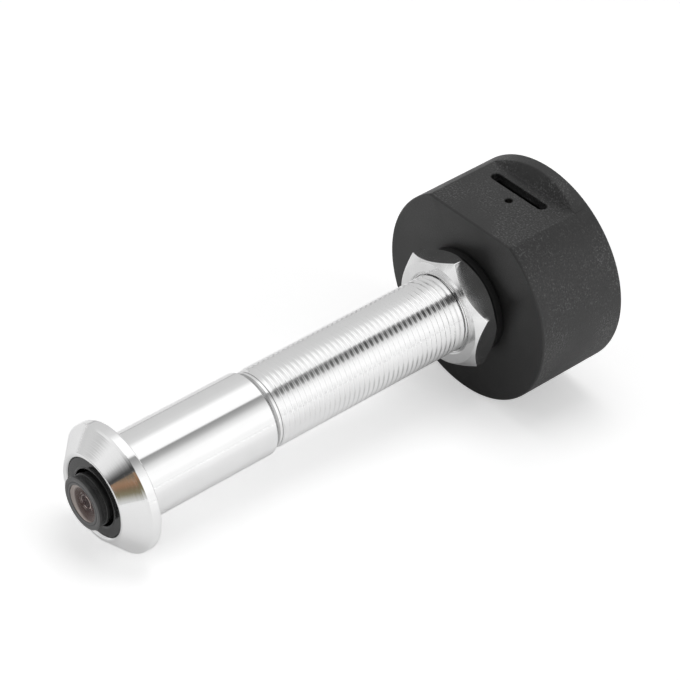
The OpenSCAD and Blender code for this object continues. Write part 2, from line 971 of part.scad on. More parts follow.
// The slider's return spring: a round wire wound in open turns
function spring_point(i, k) =
    let (turn = 360 * i / card_spring_steps,
         side = 360 * k / card_spring_sides,
         r = card_spring_r + card_spring_wire / 2 * cos(side),
         rise = card_spring_l * i / (card_spring_turns * card_spring_steps))
    [r * cos(turn), r * sin(turn), rise + card_spring_wire / 2 * sin(side)];

module card_spring() {
    rings = card_spring_turns * card_spring_steps;
    n = card_spring_sides;
    points = [for (i = [0:rings]) for (k = [0:n - 1]) spring_point(i, k)];
    sides = [for (i = [0:rings - 1]) for (k = [0:n - 1])
        each [
            [i * n + k, (i + 1) * n + k, (i + 1) * n + (k + 1) % n],
            [i * n + k, (i + 1) * n + (k + 1) % n, i * n + (k + 1) % n]
        ]];
    first = [for (k = [1:n - 2]) [0, k, k + 1]];
    last = [for (k = [1:n - 2]) [rings * n, rings * n + k + 1, rings * n + k]];
    color("silver")
        translate([slot_x + bay_w / 2 + channel_w / 2, card_y, bay_foot + seat_gap + card_spring_wire / 2])
            polyhedron(points = points, faces = concat(sides, first, last));
}

module reset_switch() {
    half = switch_w / 2;
    well_w = button_w / 2 + seat_gap;
    well_t = button_t / 2 + seat_gap;
    color([0.2, 0.2, 0.2])
        difference() {
            block([pinhole_x - half, pinhole_x + half], [board_y - switch_t, board_y - face_gap],
                  [switch_top - switch_l, switch_top]);
            block([pinhole_x - well_w, pinhole_x + well_w], [switch_y - well_t, switch_y + well_t],
                  [button_top - button_l - reset_travel - seat_gap, switch_top + over]);
        }
}

module reset_button() {
    color("ivory")
        block([pinhole_x - button_w / 2, pinhole_x + button_w / 2],
              [switch_y - button_t / 2, switch_y + button_t / 2],
              [button_top - button_l, button_top]);
}

module usb_socket() {
    half = usb_w / 2;
    in_half = half - usb_skin;
    y0 = board_back + face_gap;
    y1 = board_back + usb_t;
    color("lightgray")
        difference() {
            block([-half, half], [y0, y1], [usb_mouth, usb_mouth + usb_l]);
            block([-in_half, in_half], [y0 + usb_skin, y1 - usb_skin],
                  [usb_mouth - over, usb_mouth + usb_l - usb_back]);
        }
}

module usb_tongue() {
    mid = board_back + usb_t / 2 + tongue_lift;
    color("black")
        block([-tongue_w / 2, tongue_w / 2], [mid - tongue_t / 2, mid + tongue_t / 2],
              [usb_mouth + tongue_inset, usb_mouth + usb_l - usb_back - face_gap]);
}

door_barrel();
bezel_insert();
lens_seal();
clamp_nut();
nut_washer();
head_shell();
rear_cover();
cover_screws();
barrel_socket();
lens_tube();
tube_screws();
lens_holder();
lens_barrel();
lens_retainer();
front_glass();
lens_spacer();
middle_glass();
aperture_stop();
rear_glass();
rear_retainer();
infrared_filter();
image_sensor();
sensor_board();
flex_cable();
flex_connector();
main_board();
board_screws();
processor();
memory_chip();
radio_board();
radio_shield();
chip_antenna();
card_socket();
card_slider();
card_spring();
reset_switch();
reset_button();
usb_socket();
usb_tongue();
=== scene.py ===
import math

import bmesh
import bpy
from mathutils import Matrix, Vector


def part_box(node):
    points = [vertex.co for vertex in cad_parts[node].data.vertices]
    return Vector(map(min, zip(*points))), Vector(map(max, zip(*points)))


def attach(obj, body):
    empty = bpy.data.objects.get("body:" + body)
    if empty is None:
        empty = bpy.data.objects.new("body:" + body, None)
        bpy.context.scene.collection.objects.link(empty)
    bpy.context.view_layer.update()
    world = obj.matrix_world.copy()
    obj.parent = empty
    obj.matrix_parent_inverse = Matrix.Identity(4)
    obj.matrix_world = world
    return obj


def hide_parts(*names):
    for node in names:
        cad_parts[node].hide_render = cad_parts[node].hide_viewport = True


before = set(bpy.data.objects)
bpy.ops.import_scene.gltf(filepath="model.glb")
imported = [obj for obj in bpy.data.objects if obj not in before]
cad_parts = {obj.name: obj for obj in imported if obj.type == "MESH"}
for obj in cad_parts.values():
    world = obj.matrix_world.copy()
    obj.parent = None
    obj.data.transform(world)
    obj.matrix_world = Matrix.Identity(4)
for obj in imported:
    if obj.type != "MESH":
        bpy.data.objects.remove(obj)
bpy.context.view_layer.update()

# Sizes are in millimetres here, and meshes are scaled to metres when they are made.
# The barrel lies along Y and the lens looks along -Y. A profile is a list of points
# (radius, y, fillet), turned about the Y axis.
MM = 0.001

# How the photograph was taken, fitted to the part's edges in it
VIEW_AZIMUTH = 49.281
VIEW_ELEVATION = 39.087
VIEW_ROLL = 0.527
VIEW_DISTANCE = 434.19
VIEW_LENS = 147.53
VIEW_SENSOR = 36
VIEW_TARGET = (0.0, 40.0, 0.0)
VIEW_SHIFT_RIGHT = 2.417
VIEW_SHIFT_UP = 5.279
VIEW_NEAREST = 10
VIEW_FURTHEST = 20000


def extent(node):
    """The front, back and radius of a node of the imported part."""
    low, high = (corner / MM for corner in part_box(node))
    return low.y, high.y, high.x


BEZEL_Y, BARREL_END, FLANGE_R = extent("door_barrel")
NUT_Y, SPIGOT_END = extent("clamp_nut")[:2]
HEAD_Y, HEAD_END, HEAD_R = extent("head_shell")
LENS_Y, LENS_END, LENS_RING_R = extent("lens_barrel")


def place_camera():
    """The camera stands where the photograph was taken from."""
    azimuth = math.radians(VIEW_AZIMUTH)
    elevation = math.radians(VIEW_ELEVATION)
    back = Vector((
        math.sin(azimuth) * math.cos(elevation),
        -math.cos(azimuth) * math.cos(elevation),
        math.sin(elevation),
    ))
    level = Vector((0, 0, 1)).cross(back).normalized()
    upright = back.cross(level)
    roll = math.radians(VIEW_ROLL)
    right = level * math.cos(roll) + upright * math.sin(roll)
    up = back.cross(right)
    target = Vector(VIEW_TARGET) + right * VIEW_SHIFT_RIGHT + up * VIEW_SHIFT_UP
    eye = target + back * VIEW_DISTANCE
    data = bpy.data.cameras.new("camera")
    data.lens = VIEW_LENS
    data.sensor_width = VIEW_SENSOR
    data.clip_start = VIEW_NEAREST * MM
    data.clip_end = VIEW_FURTHEST * MM
    camera = bpy.data.objects.new("camera", data)
    turn = Matrix((right, up, back)).transposed().to_4x4()
    camera.matrix_world = Matrix.Translation(eye * MM) @ turn
    bpy.context.scene.collection.objects.link(camera)
    bpy.context.scene.camera = camera
    return eye


# Mesh helpers

# Points closer than this are joined, and closer than the second value after a cut
MERGE = 0.0005
CUT_MERGE = 0.0002
FILLET_STEPS = 4
# A fillet takes up at most this share of a side, and a corner this close to straight has none
FILLET_SHARE = 0.49
STRAIGHT = math.radians(179)
LATHE_SEGMENTS = 160


def add_mesh(name, points, faces):
    """A mesh object from points in millimetres."""
    mesh = bpy.data.meshes.new(name)
    mesh.from_pydata([Vector(p) * MM for p in points], [], faces)
    mesh.validate()
    piece = bpy.data.objects.new(name, mesh)
    bpy.context.scene.collection.objects.link(piece)
    return piece


def clean_up(piece, merge=MERGE):
    """Joins points that lie together, drops what has no area, and turns faces outward."""
    work = bmesh.new()
    work.from_mesh(piece.data)
    bmesh.ops.remove_doubles(work, verts=work.verts, dist=merge * MM)
    bmesh.ops.dissolve_degenerate(work, edges=work.edges, dist=merge * MM)
    loose = [edge for edge in work.edges if not edge.link_faces]
    bmesh.ops.delete(work, geom=loose, context="EDGES")
    bmesh.ops.recalc_face_normals(work, faces=work.faces)
    work.to_mesh(piece.data)
    work.free()


def smooth(piece, angle=35):
    """Smooth shading between sharp edges, with large faces kept flat."""
    for polygon in piece.data.polygons:
        polygon.use_smooth = True
    piece.data.set_sharp_from_angle(angle=math.radians(angle))
    weights = piece.modifiers.new("normals", "WEIGHTED_NORMAL")
    weights.keep_sharp = True
    weights.weight = 80


def fit_out(piece, body, slot, nodes, *finishes):
    """Gives a piece its finishes, which are its slot's where none is named, puts it on its body and
    hides the CAD nodes it stands for."""
    for name in finishes or [slot]:
        piece.data.materials.append(finish[name])
    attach(piece, body)
    if nodes:
        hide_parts(*nodes)


def sweep(centre, radius, start, turn, steps):
    """Points along an arc from an angle in degrees on through a turn."""
    found = []
    for i in range(steps + 1):
        a = math.radians(start + turn * i / steps)
        found.append((centre[0] + radius * math.cos(a), centre[1] + radius * math.sin(a)))
    return found


def fillet_points(before, corner, after, radius):
    """Points along an arc that rounds a corner, in the plane of the profile."""
    corner = Vector(corner)
    a = Vector(before) - corner
    b = Vector(after) - corner
    turn = a.angle(b)
    if turn > STRAIGHT:
        return [tuple(corner)]
    reach = min(radius / math.tan(turn / 2), a.length * FILLET_SHARE, b.length * FILLET_SHARE)
    radius = reach * math.tan(turn / 2)
    middle = (a.normalized() + b.normalized()).normalized()
    centre = corner + middle * (radius / math.sin(turn / 2))
    start = corner + a.normalized() * reach - centre
    end = corner + b.normalized() * reach - centre
    first = math.degrees(math.atan2(start.y, start.x))
    return sweep(centre, radius, first, -math.degrees(start.angle_signed(end)), FILLET_STEPS)


def rounded(profile):
    """Replaces each corner that names a fillet by an arc. The profile is closed."""
    flat = [(p[0], p[1]) for p in profile]
    out = []
    for i, point in enumerate(profile):
        if len(point) == 3 and point[2] > 0:
            after = flat[(i + 1) % len(flat)]
            out += fillet_points(flat[i - 1], flat[i], after, point[2])
        else:
            out.append(flat[i])
    return out


def stand(path, angle, centre=(0, 0)):
    """A path's points (radius, y) in space, at an angle about the Y axis through centre (x, z)."""
    return [(centre[0] + r * math.cos(angle), y, centre[1] + r * math.sin(angle)) for r, y in path]


def strip(i, j, n):
    """The faces between two columns of n points each, by the columns' numbers."""
    return [(i * n + k, j * n + k, j * n + (k + 1) % n, i * n + (k + 1) % n) for k in range(n)]


def columns(name, paths):
    """A closed skin over columns of equally many points, each a closed path in its own plane."""
    faces = []
    for i in range(len(paths)):
        faces += strip(i, (i + 1) % len(paths), len(paths[0]))
    piece = add_mesh(name, [p for path in paths for p in path], faces)
    clean_up(piece)
    return piece


def lathe(name, profile, segments=LATHE_SEGMENTS, centre=(0, 0)):
    """A closed profile turned about the Y axis through centre (x, z)."""
    path = rounded(profile)
    piece = columns(name, [stand(path, 2 * math.pi * i / segments, centre) for i in range(segments)])
    smooth(piece)
    return piece


def cut(piece, cutter):
    """Takes the cutter's shape out of a piece's mesh and removes the cutter."""
    change = piece.modifiers.new("cut", "BOOLEAN")
    change.operation = "DIFFERENCE"
    change.solver = "EXACT"
    change.object = cutter
    bpy.context.view_layer.update()
    shown = piece.evaluated_get(bpy.context.evaluated_depsgraph_get())
    mesh = bpy.data.meshes.new_from_object(shown)
    old = piece.data
    piece.modifiers.clear()
    piece.data = mesh
    bpy.data.meshes.remove(old)
    bpy.data.objects.remove(cutter)


def join(name, pieces):
    """One mesh from several."""
    work = bmesh.new()
    for piece in pieces:
        work.from_mesh(piece.data)
        bpy.data.objects.remove(piece)
    mesh = bpy.data.meshes.new(name)
    work.to_mesh(mesh)
    work.free()
    whole = bpy.data.objects.new(name, mesh)
    bpy.context.scene.collection.objects.link(whole)
    return whole


# Node helpers

WHITE = (1, 1, 1, 1)
# Noise lies mostly between these values
NOISE_LOW = 0.3
NOISE_HIGH = 0.7


def grey(value):
    return (value, value, value)


class Tree:
    """A node tree, with short ways to add nodes. A value is a constant or another node's socket."""

    def __init__(self, tree):
        self.tree = tree
        tree.nodes.clear()

    def add(self, kind, **settings):
        node = self.tree.nodes.new(kind)
        for key, value in settings.items():
            setattr(node, key, value)
        return node

    def feed(self, value, socket):
        """Gives a socket its value."""
        if isinstance(value, bpy.types.NodeSocket):
            self.tree.links.new(value, socket)
        else:
            socket.default_value = value

    def fed(self, kind, values, out=0, **settings):
        """One output of a new node whose inputs, by number or name, have these values."""
        node = self.add(kind, **settings)
        for key, value in values.items():
            self.feed(value, node.inputs[key])
        return node.outputs[out]

    def math(self, operation, a, b=0.0):
        return self.fed("ShaderNodeMath", {0: a, 1: b}, operation=operation)

    def times(self, product, *values):
        """The product of several values."""
        for value in values:
            product = self.math("MULTIPLY", product, value)
        return product

    def less(self, value, share=1.0):
        """One less a share of a value."""
        return self.math("SUBTRACT", 1.0, self.times(value, share))

    def blend(self, a, b, share):
        """Two values added, with a's share given."""
        return self.math("ADD", self.times(a, share), self.times(b, 1 - share))

    def scale(self, vector, factor):
        """A vector or colour times a number."""
        return self.fed("ShaderNodeVectorMath", {0: vector, "Scale": factor}, operation="SCALE")

    def dot(self, vector, axis):
        return self.fed("ShaderNodeVectorMath", {0: vector, 1: axis}, "Value", operation="DOT_PRODUCT")

    def parts(self, vector):
        """The separate x, y and z of a vector."""
        split = self.add("ShaderNodeSeparateXYZ")
        self.feed(vector, split.inputs[0])
        return split.outputs

    def span(self, value, low_in, high_in, low_out=0.0, high_out=1.0, kind="LINEAR"):
        """Maps one range onto another and keeps within it."""
        values = {0: value, 1: low_in, 2: high_in, 3: low_out, 4: high_out}
        return self.fed("ShaderNodeMapRange", values, interpolation_type=kind, clamp=True)

    def rise(self, value, low_in, high_in):
        """From 0 to 1 over a range, without corners."""
        return self.span(value, low_in, high_in, kind="SMOOTHSTEP")

    def fall(self, value, low_in, high_in):
        """From 1 to 0 over a range, without corners."""
        return self.span(value, low_in, high_in, 1.0, 0.0, "SMOOTHSTEP")

    def ramp(self, value, *stops):
        """A colour ramp from stops (place, colour)."""
        node = self.add("ShaderNodeValToRGB")
        elements = node.color_ramp.elements
        while len(elements) < len(stops):
            elements.new(0.5)
        for element, (place, colour) in zip(elements, stops):
            element.position = place
            element.color = (*colour, 1)
        self.feed(value, node.inputs[0])
        return node.outputs["Color"]

    def rays(self):
        """Whether a ray comes from the camera, and whether from a polished or clear surface."""
        path = self.add("ShaderNodeLightPath").outputs
        polished = self.math("MAXIMUM", path["Is Glossy Ray"], path["Is Transmission Ray"])
        return path["Is Camera Ray"], polished

    def mix_colours(self, factor, a, b):
        return self.fed("ShaderNodeMix", {"Factor": factor, 6: a, 7: b}, 2, data_type="RGBA")

    def mix_shaders(self, factor, a, b):
        return self.fed("ShaderNodeMixShader", {0: factor, 1: a, 2: b})


class Finish(Tree):
    """A material's node tree, with a principled shader."""

    def __init__(self, name):
        self.material = bpy.data.materials.new(name)
        self.material.use_nodes = True
        super().__init__(self.material.node_tree)
        self.shader = self.add("ShaderNodeBsdfPrincipled")
        self.output = self.add("ShaderNodeOutputMaterial")
        self.show(self.shader.outputs["BSDF"])
        # The object's own coordinates in millimetres
        self.place = self.scale(self.add("ShaderNodeTexCoord").outputs["Object"], 1 / MM)

    def show(self, shader):
        self.feed(shader, self.output.inputs["Surface"])

    def set(self, **values):
        """Gives the shader's sockets their values. _ stands for a space."""
        for key, value in values.items():
            self.feed(value, self.shader.inputs[key.replace("_", " ")])

    def axes(self):
        """The separate x, y and z of the place."""
        return self.parts(self.place)

    def radius(self):
        """Distance from the barrel's axis."""
        x, y, z = self.axes()
        return self.math("SQRT", self.math("ADD", self.times(x, x), self.times(z, z)))

    def noise(self, scale, detail=2.0, roughness=0.5):
        """Noise whose scale is per millimetre."""
        values = {"Vector": self.place, "Scale": scale, "Detail": detail, "Roughness": roughness}
        return self.fed("ShaderNodeTexNoise", values, "Fac")

    def line_noise(self, value, scale):
        """Noise along one number only, such as turning marks along a radius."""
        values = {"W": value, "Scale": scale, "Detail": 3.0}
        return self.fed("ShaderNodeTexNoise", values, "Fac", noise_dimensions="1D")

    def over(self, noise, low_out, high_out):
        """A noise's usual range mapped onto another."""
        return self.span(noise, NOISE_LOW, NOISE_HIGH, low_out, high_out)

    def shades(self, noise, first, second):
        """A colour that a noise moves between two others."""
        return self.ramp(noise, (NOISE_LOW, first), (NOISE_HIGH, second))

    def bump(self, height, strength, distance):
        """A bump whose distance is in millimetres."""
        values = {"Height": height, "Strength": strength, "Distance": distance * MM}
        return self.fed("ShaderNodeBump", values, "Normal")


# The finishes

def turned_metal(name, tone, low_rough, high_rough, across, marks, depth):
    """Bright metal with fine turning marks. across is "y" along the barrel or "r" on a face."""
    n = Finish(name)
    along = n.axes()["Y"] if across == "y" else n.radius()
    fine = n.line_noise(along, marks)
    patches = n.noise(0.25, 3.0)
    n.set(
        Metallic=1.0,
        Base_Color=n.shades(patches, grey(tone * 0.97), grey(tone)),
        Roughness=n.over(n.blend(fine, patches, 0.6), low_rough, high_rough),
        Normal=n.bump(fine, 1.0, depth),
    )
    return n.material


def sanded_plastic(name, dark, pale, low_rough, high_rough, grain, depth, specular=0.5):
    """Matt moulded surface with a fine grain and slight unevenness."""
    n = Finish(name)
    speck = n.noise(grain, 3.0, 0.7)
    patches = n.noise(0.12, 3.0)
    n.set(
        Specular_IOR_Level=specular,
        Base_Color=n.ramp(n.blend(speck, patches, 0.65), (0.35, dark), (0.68, pale)),
        Roughness=n.over(patches, low_rough, high_rough),
        Normal=n.bump(speck, 0.6, depth),
    )
    return n.material


def blasted_plastic(name, dark, middle, speck, low_rough, high_rough, grain, depth, specular):
    """Black plastic with a sandblasted skin, in which grains catch the light, more in some
    patches than in others. The head's front face is smoother."""
    n = Finish(name)
    skin = n.span(n.axes()["Y"], HEAD_Y + 0.1, HEAD_Y + 0.35, 0.35, 1.0)
    patches = n.noise(0.12, 3.0)
    density = n.span(patches, 0.40, 0.60, 0.3, 1.2)
    grains = n.math("SUBTRACT", n.noise(grain, 2.0, 0.6), 0.5)
    sand = n.math("ADD", 0.5, n.times(grains, density, skin))
    n.set(
        Specular_IOR_Level=specular,
        Base_Color=n.ramp(sand, (0.36, grey(dark)), (0.56, grey(middle)), (0.68, grey(speck))),
        Roughness=n.span(n.blend(sand, patches, 0.6), 0.35, 0.65, high_rough, low_rough),
        Normal=n.bump(sand, 0.8, depth),
    )
    return n.material


def plain_metal(name, pale, dark, low_rough, high_rough, grain=2.0, depth=0.003):
    """Metal with faint stains and a fine uneven surface."""
    n = Finish(name)
    stain = n.noise(grain * 0.3, 4.0)
    fine = n.noise(grain * 4, 2.0)
    n.set(
        Metallic=1.0,
        Base_Color=n.shades(stain, dark, pale),
        Roughness=n.over(stain, low_rough, high_rough),
        Normal=n.bump(fine, 0.5, depth),
    )
    return n.material


# The front glass's coating: its tones by the share of the radius, dark in the middle as painted depth
# shade and pale at the rim as a painted highlight, how far they lean paler to one side as painted
# shading, and the radius and strength of its painted highlight rings
COATING_TONES = (
    (0.0, (0.026, 0.007, 0.006)),
    (0.27, (0.034, 0.011, 0.010)),
    (0.36, (0.048, 0.025, 0.023)),
    (0.60, (0.078, 0.050, 0.046)),
    (0.85, (0.16, 0.125, 0.113)),
    (0.97, (0.55, 0.485, 0.455)),
    (1.0, (0.50, 0.44, 0.41)),
)
COATING_SHADING_LEAN = 0.16
COATING_HIGHLIGHT_RINGS = ((1.12, 0.8), (1.5, 0.25))
HIGHLIGHT_RING_CORE = 0.03
HIGHLIGHT_RING_HALF = 0.11


def coating_with_painted_light(name):
    """The coated back of the front lens: dark wine in the middle as painted depth shade and mauve brown
    outside, paler towards -x as painted shading and pale at the rim as a painted highlight, with thin
    broken painted highlight rings between them."""
    n = Finish(name)
    r = n.radius()
    # Painted shading: the tones lean paler towards -x
    shading_radius = n.math("SUBTRACT", r, n.times(n.axes()["X"], COATING_SHADING_LEAN))
    shade = n.ramp(n.span(shading_radius, 0.0, GLASS_R), *COATING_TONES)
    # Painted highlight rings, broken up by noise
    broken = n.span(n.noise(0.65, 1.0), 0.47, 0.60)
    highlight_rings = []
    for middle, strength in COATING_HIGHLIGHT_RINGS:
        away = n.math("ABSOLUTE", n.math("SUBTRACT", r, middle))
        highlight_rings.append(n.span(away, HIGHLIGHT_RING_CORE, HIGHLIGHT_RING_HALF, strength, 0.0))
    ring = n.times(n.math("MAXIMUM", *highlight_rings), broken)
    # The colour of the painted highlight rings
    light = n.ramp(broken, (0.0, grey(0.5)), (1.0, (0.95, 0.80, 0.74)))
    n.set(
        Specular_IOR_Level=0.1,
        Base_Color=n.mix_colours(ring, shade, light),
        Roughness=n.over(n.noise(2.0), 0.12, 0.2),
    )
    return n.material


def clear_glass(name, first, second, low_rough, high_rough, settings):
    """Polished glass, or a thin clear face with a faint gloss, by its settings."""
    n = Finish(name)
    n.set(
        Base_Color=n.shades(n.noise(0.5, 1.0), first, second),
        Roughness=n.over(n.noise(1.5), low_rough, high_rough),
        **settings,
    )
    return n.material


# Each finish's maker and the values it is given
FINISHES = {
    "barrel_metal": (turned_metal, 0.95, 0.05, 0.10, "y", 3.0, 0.0006),
    "bezel_cone": (turned_metal, 0.95, 0.06, 0.12, "r", 4.5, 0.009),
    "thread_metal": (turned_metal, 0.93, 0.10, 0.18, "y", 2.0, 0.001),
    "relief_metal": (turned_metal, 0.50, 0.20, 0.35, "y", 6.0, 0.003),
    "nut_metal": (plain_metal, grey(0.93), grey(0.86), 0.10, 0.2, 1.2, 0.004),
    "head_black": (blasted_plastic, 0.004, 0.012, 0.060, 0.36, 0.56, 3.2, 0.09, 0.62),
    "insert_black": (sanded_plastic, grey(0.014), grey(0.022), 0.12, 0.2, 5.0, 0.002, 0.55),
    "lens_ring": (sanded_plastic, grey(0.085), grey(0.11), 0.32, 0.42, 6.0, 0.004),
    "lens_black": (sanded_plastic, grey(0.016), grey(0.028), 0.3, 0.42, 6.0, 0.004, 0.45),
    "coated_glass": (coating_with_painted_light,),
    "clear_front": (clear_glass, grey(0.01), grey(0.02), 0.01, 0.04,
                    {"Alpha": 0.05, "Specular_IOR_Level": 0.6}),
    "inner_glass": (clear_glass, (0.85, 0.8, 0.95), grey(0.95), 0.0, 0.03,
                    {"Transmission_Weight": 1.0, "IOR": 1.52}),
    "washer_black": (sanded_plastic, grey(0.008), grey(0.014), 0.6, 0.7, 4.0, 0.01, 0.2),
    "seal_rubber": (sanded_plastic, grey(0.01), grey(0.016), 0.6, 0.75, 5.0, 0.01, 0.2),
    "brass": (plain_metal, (0.80, 0.60, 0.27), (0.70, 0.50, 0.20), 0.2, 0.35),
    "tube_metal": (turned_metal, 0.42, 0.25, 0.4, "y", 4.0, 0.002),
    "screw_black": (plain_metal, grey(0.06), grey(0.04), 0.3, 0.45),
    "screw_steel": (plain_metal, grey(0.62), grey(0.5), 0.22, 0.35),
    "board_green": (
        sanded_plastic, (0.010, 0.06, 0.03), (0.016, 0.09, 0.045), 0.3, 0.42, 2.0, 0.006),
    "board_blue": (
        sanded_plastic, (0.01, 0.03, 0.09), (0.015, 0.045, 0.13), 0.3, 0.42, 2.0, 0.006),
    "chip_black": (sanded_plastic, grey(0.014), grey(0.022), 0.5, 0.62, 6.0, 0.006),
    "can_metal": (plain_metal, grey(0.72), grey(0.62), 0.25, 0.4),
    "flex_amber": (
        sanded_plastic, (0.32, 0.12, 0.015), (0.42, 0.17, 0.02), 0.25, 0.35, 1.5, 0.003),
    "ivory_plastic": (
        sanded_plastic, (0.62, 0.58, 0.47), (0.7, 0.66, 0.55), 0.35, 0.48, 3.0, 0.005),
    "ceramic_white": (sanded_plastic, grey(0.7), grey(0.8), 0.35, 0.5, 3.0, 0.004),
}


# The barrel

THREAD_R = 6.6
THREAD_DEPTH = 0.27
THREAD_ROOT_R = THREAD_R - THREAD_DEPTH
THREAD_START = 26.6
THREAD_TURNS = 48
PITCH = 1.0
# A turn of the thread from root to root: how high it stands, as a share of its depth, by its
# place along the turn
THREAD_SHAPE = ((0.0, 0.0), (0.09, 0.0), (0.44, 1.0), (0.62, 1.0), (0.92, 0.0))
# How far before the barrel's end the thread stops, and how steeply it rises at both its ends
THREAD_STOP = 0.3
THREAD_RUN_OUT = 1.2
THREAD_SEGMENTS = 144
# The angle of the first column, on the side that the camera doesn't see
SEAM_ANGLE = 250
SLEEVE_R = 7.0
SLEEVE_END = 24.85
RELIEF_R = 6.46
RELIEF_END = 26.46
# How far beyond the sleeve the relief's slope and its rough part reach
RELIEF_SLOPE = 0.62
ROUGH_PART = 1.0
GROOVE_DEPTH = 0.1
BORE_R = 5.35
# Faces further out than this belong to the barrel's outside
OUTSIDE_R = 6.0
OPENING_R = 6.575
SEAT_Y = -1.2
NOSE_R = 0.55
NOSE_TURN = 125
NOSE_STEPS = 12
CONE_END = -1.97
RIM_Y = -1.65
RIM_CHAMFER = 0.4
END_CHAMFER_R = 0.1
END_CHAMFER_Y = 0.05


def barrel_front():
    """The barrel's outside from the seat of the insert to the start of the thread."""
    nose = sweep((OPENING_R + NOSE_R, BEZEL_Y + NOSE_R), NOSE_R, 180, NOSE_TURN, NOSE_STEPS)
    # The first and last corners only steer the fillets beside them
    corners = [
        nose[-1],
        (FLANGE_R - RIM_CHAMFER, CONE_END, 0.12),
        (FLANGE_R, RIM_Y, 0.12),
        (FLANGE_R, 0.0, 0.35),
        (SLEEVE_R, 0.0, 0.1),
        (SLEEVE_R, SLEEVE_END, 0.12),
        (RELIEF_R, SLEEVE_END + RELIEF_SLOPE, 0.1),
        (RELIEF_R, SLEEVE_END + ROUGH_PART),
        (RELIEF_R, RELIEF_END - 0.18, 0.02),
        (RELIEF_R - GROOVE_DEPTH, RELIEF_END - 0.14, 0.02),
        (RELIEF_R - GROOVE_DEPTH, RELIEF_END - 0.05, 0.02),
        (RELIEF_R, RELIEF_END, 0.02),
        (RELIEF_R, RELIEF_END + 0.1, 0.02),
        (THREAD_ROOT_R, THREAD_START - 0.02),
    ]
    return [(OPENING_R, SEAT_Y)] + nose + rounded(corners)[1:-1]


def thread_column(share):
    """The thread's outline at a share of a turn past the seam."""
    last_y = BARREL_END - THREAD_STOP
    column = []
    for turn in range(THREAD_TURNS):
        for along, height in THREAD_SHAPE:
            y = THREAD_START + (turn + share + along) * PITCH
            r = THREAD_R - THREAD_DEPTH * (1 - height)
            from_end = max(0.0, min(y - THREAD_START, last_y - y))
            column.append((min(r, THREAD_ROOT_R + from_end * THREAD_RUN_OUT), y))
    return column


def barrel_faces(n, first, last):
    """Joins columns of n points, of which the thread's go from first to last. At the seam each
    turn meets the next one, and a wedge is left at either end."""
    faces = []
    for i in range(THREAD_SEGMENTS - 1):
        faces += strip(i, i + 1, n)
    base = (THREAD_SEGMENTS - 1) * n
    step = len(THREAD_SHAPE)
    for k in [*range(first - 1), *range(last + 1, n)]:
        m = (k + 1) % n
        faces.append((base + k, k, m, base + m))
    for k in range(first, last - step):
        faces.append((base + k, k + step, k + step + 1, base + k + 1))
    front_wedge = range(first - 1, first + step + 1)
    faces.append((base + first - 1, *front_wedge, base + first))
    rear_wedge = range(base + last, base + last - step - 1, -1)
    faces.append((last, last + 1, base + last + 1, *rear_wedge))
    return faces


def barrel_finish(r, y):
    """Which of the barrel's four finishes a face has."""
    if y > RELIEF_END - 0.02 and r > THREAD_ROOT_R - 0.05:
        return 2
    in_groove = y > RELIEF_END - 0.16 and r < RELIEF_R - 0.02
    if r > OUTSIDE_R and (SLEEVE_END < y < SLEEVE_END + ROUGH_PART or in_groove):
        return 3
    if y < -2.0 and r > OPENING_R + NOSE_R:
        return 1
    return 0


def make_barrel():
    """The door barrel with a true helical thread. Columns of points run along the barrel,
    and each column's thread lies a little further on than the last one's."""
    front = barrel_front()
    rear = [
        (THREAD_ROOT_R, BARREL_END - END_CHAMFER_Y),
        (THREAD_ROOT_R - END_CHAMFER_R, BARREL_END),
        (BORE_R, BARREL_END),
        (BORE_R, SEAT_Y),
    ]
    points = []
    for i in range(THREAD_SEGMENTS):
        column = front + thread_column(i / THREAD_SEGMENTS) + rear
        points += stand(column, math.radians(SEAM_ANGLE) + 2 * math.pi * i / THREAD_SEGMENTS)
    last = len(column) - len(rear) - 1
    piece = add_mesh("turned_barrel", points, barrel_faces(len(column), len(front), last))
    clean_up(piece)
    smooth(piece, 34)
    fit_out(piece, "barrel", "barrel_metal", ["door_barrel"],
            "barrel_metal", "bezel_cone", "thread_metal", "relief_metal")
    for polygon in piece.data.polygons:
        x, y, z = polygon.center / MM
        polygon.material_index = barrel_finish(math.hypot(x, z), y)


# The nut and its washer

NUT_AF = 18.2
NUT_TURN = 19.4
NUT_BACK = 68.3
NUT_FACE_R = 8.85
NUT_BORE_R = 6.62
NUT_CORNER_R = 0.3
NUT_CHAMFER = 42
NUT_EDGE = 0.12
# Where the nut's columns stand, in degrees from a corner
NEAR_CORNER = (-6, -4, -2.6, -1.8, -1.2, -0.6, 0, 0.6, 1.2, 1.8, 2.6, 4, 6)
ALONG_SIDE = range(10, 52, 4)
SPIGOT_R = 7.6
SPIGOT_LIP = 0.25
WASHER_CLEARANCE = 0.06
WASHER_STEP = 0.2


def hexagon_radius(angle):
    """Distance to the side of the nut's hexagon, along an angle in degrees from a corner."""
    thirty = math.radians(30)
    a = abs(math.radians((angle + 30) % 60 - 30))
    side = NUT_AF / 2 / math.cos(thirty - a)
    centre = (NUT_AF / 2 - NUT_CORNER_R) / math.cos(thirty)
    away = centre * math.sin(a)
    if away >= NUT_CORNER_R:
        return side
    return min(side, centre * math.cos(a) + math.sqrt(NUT_CORNER_R ** 2 - away ** 2))


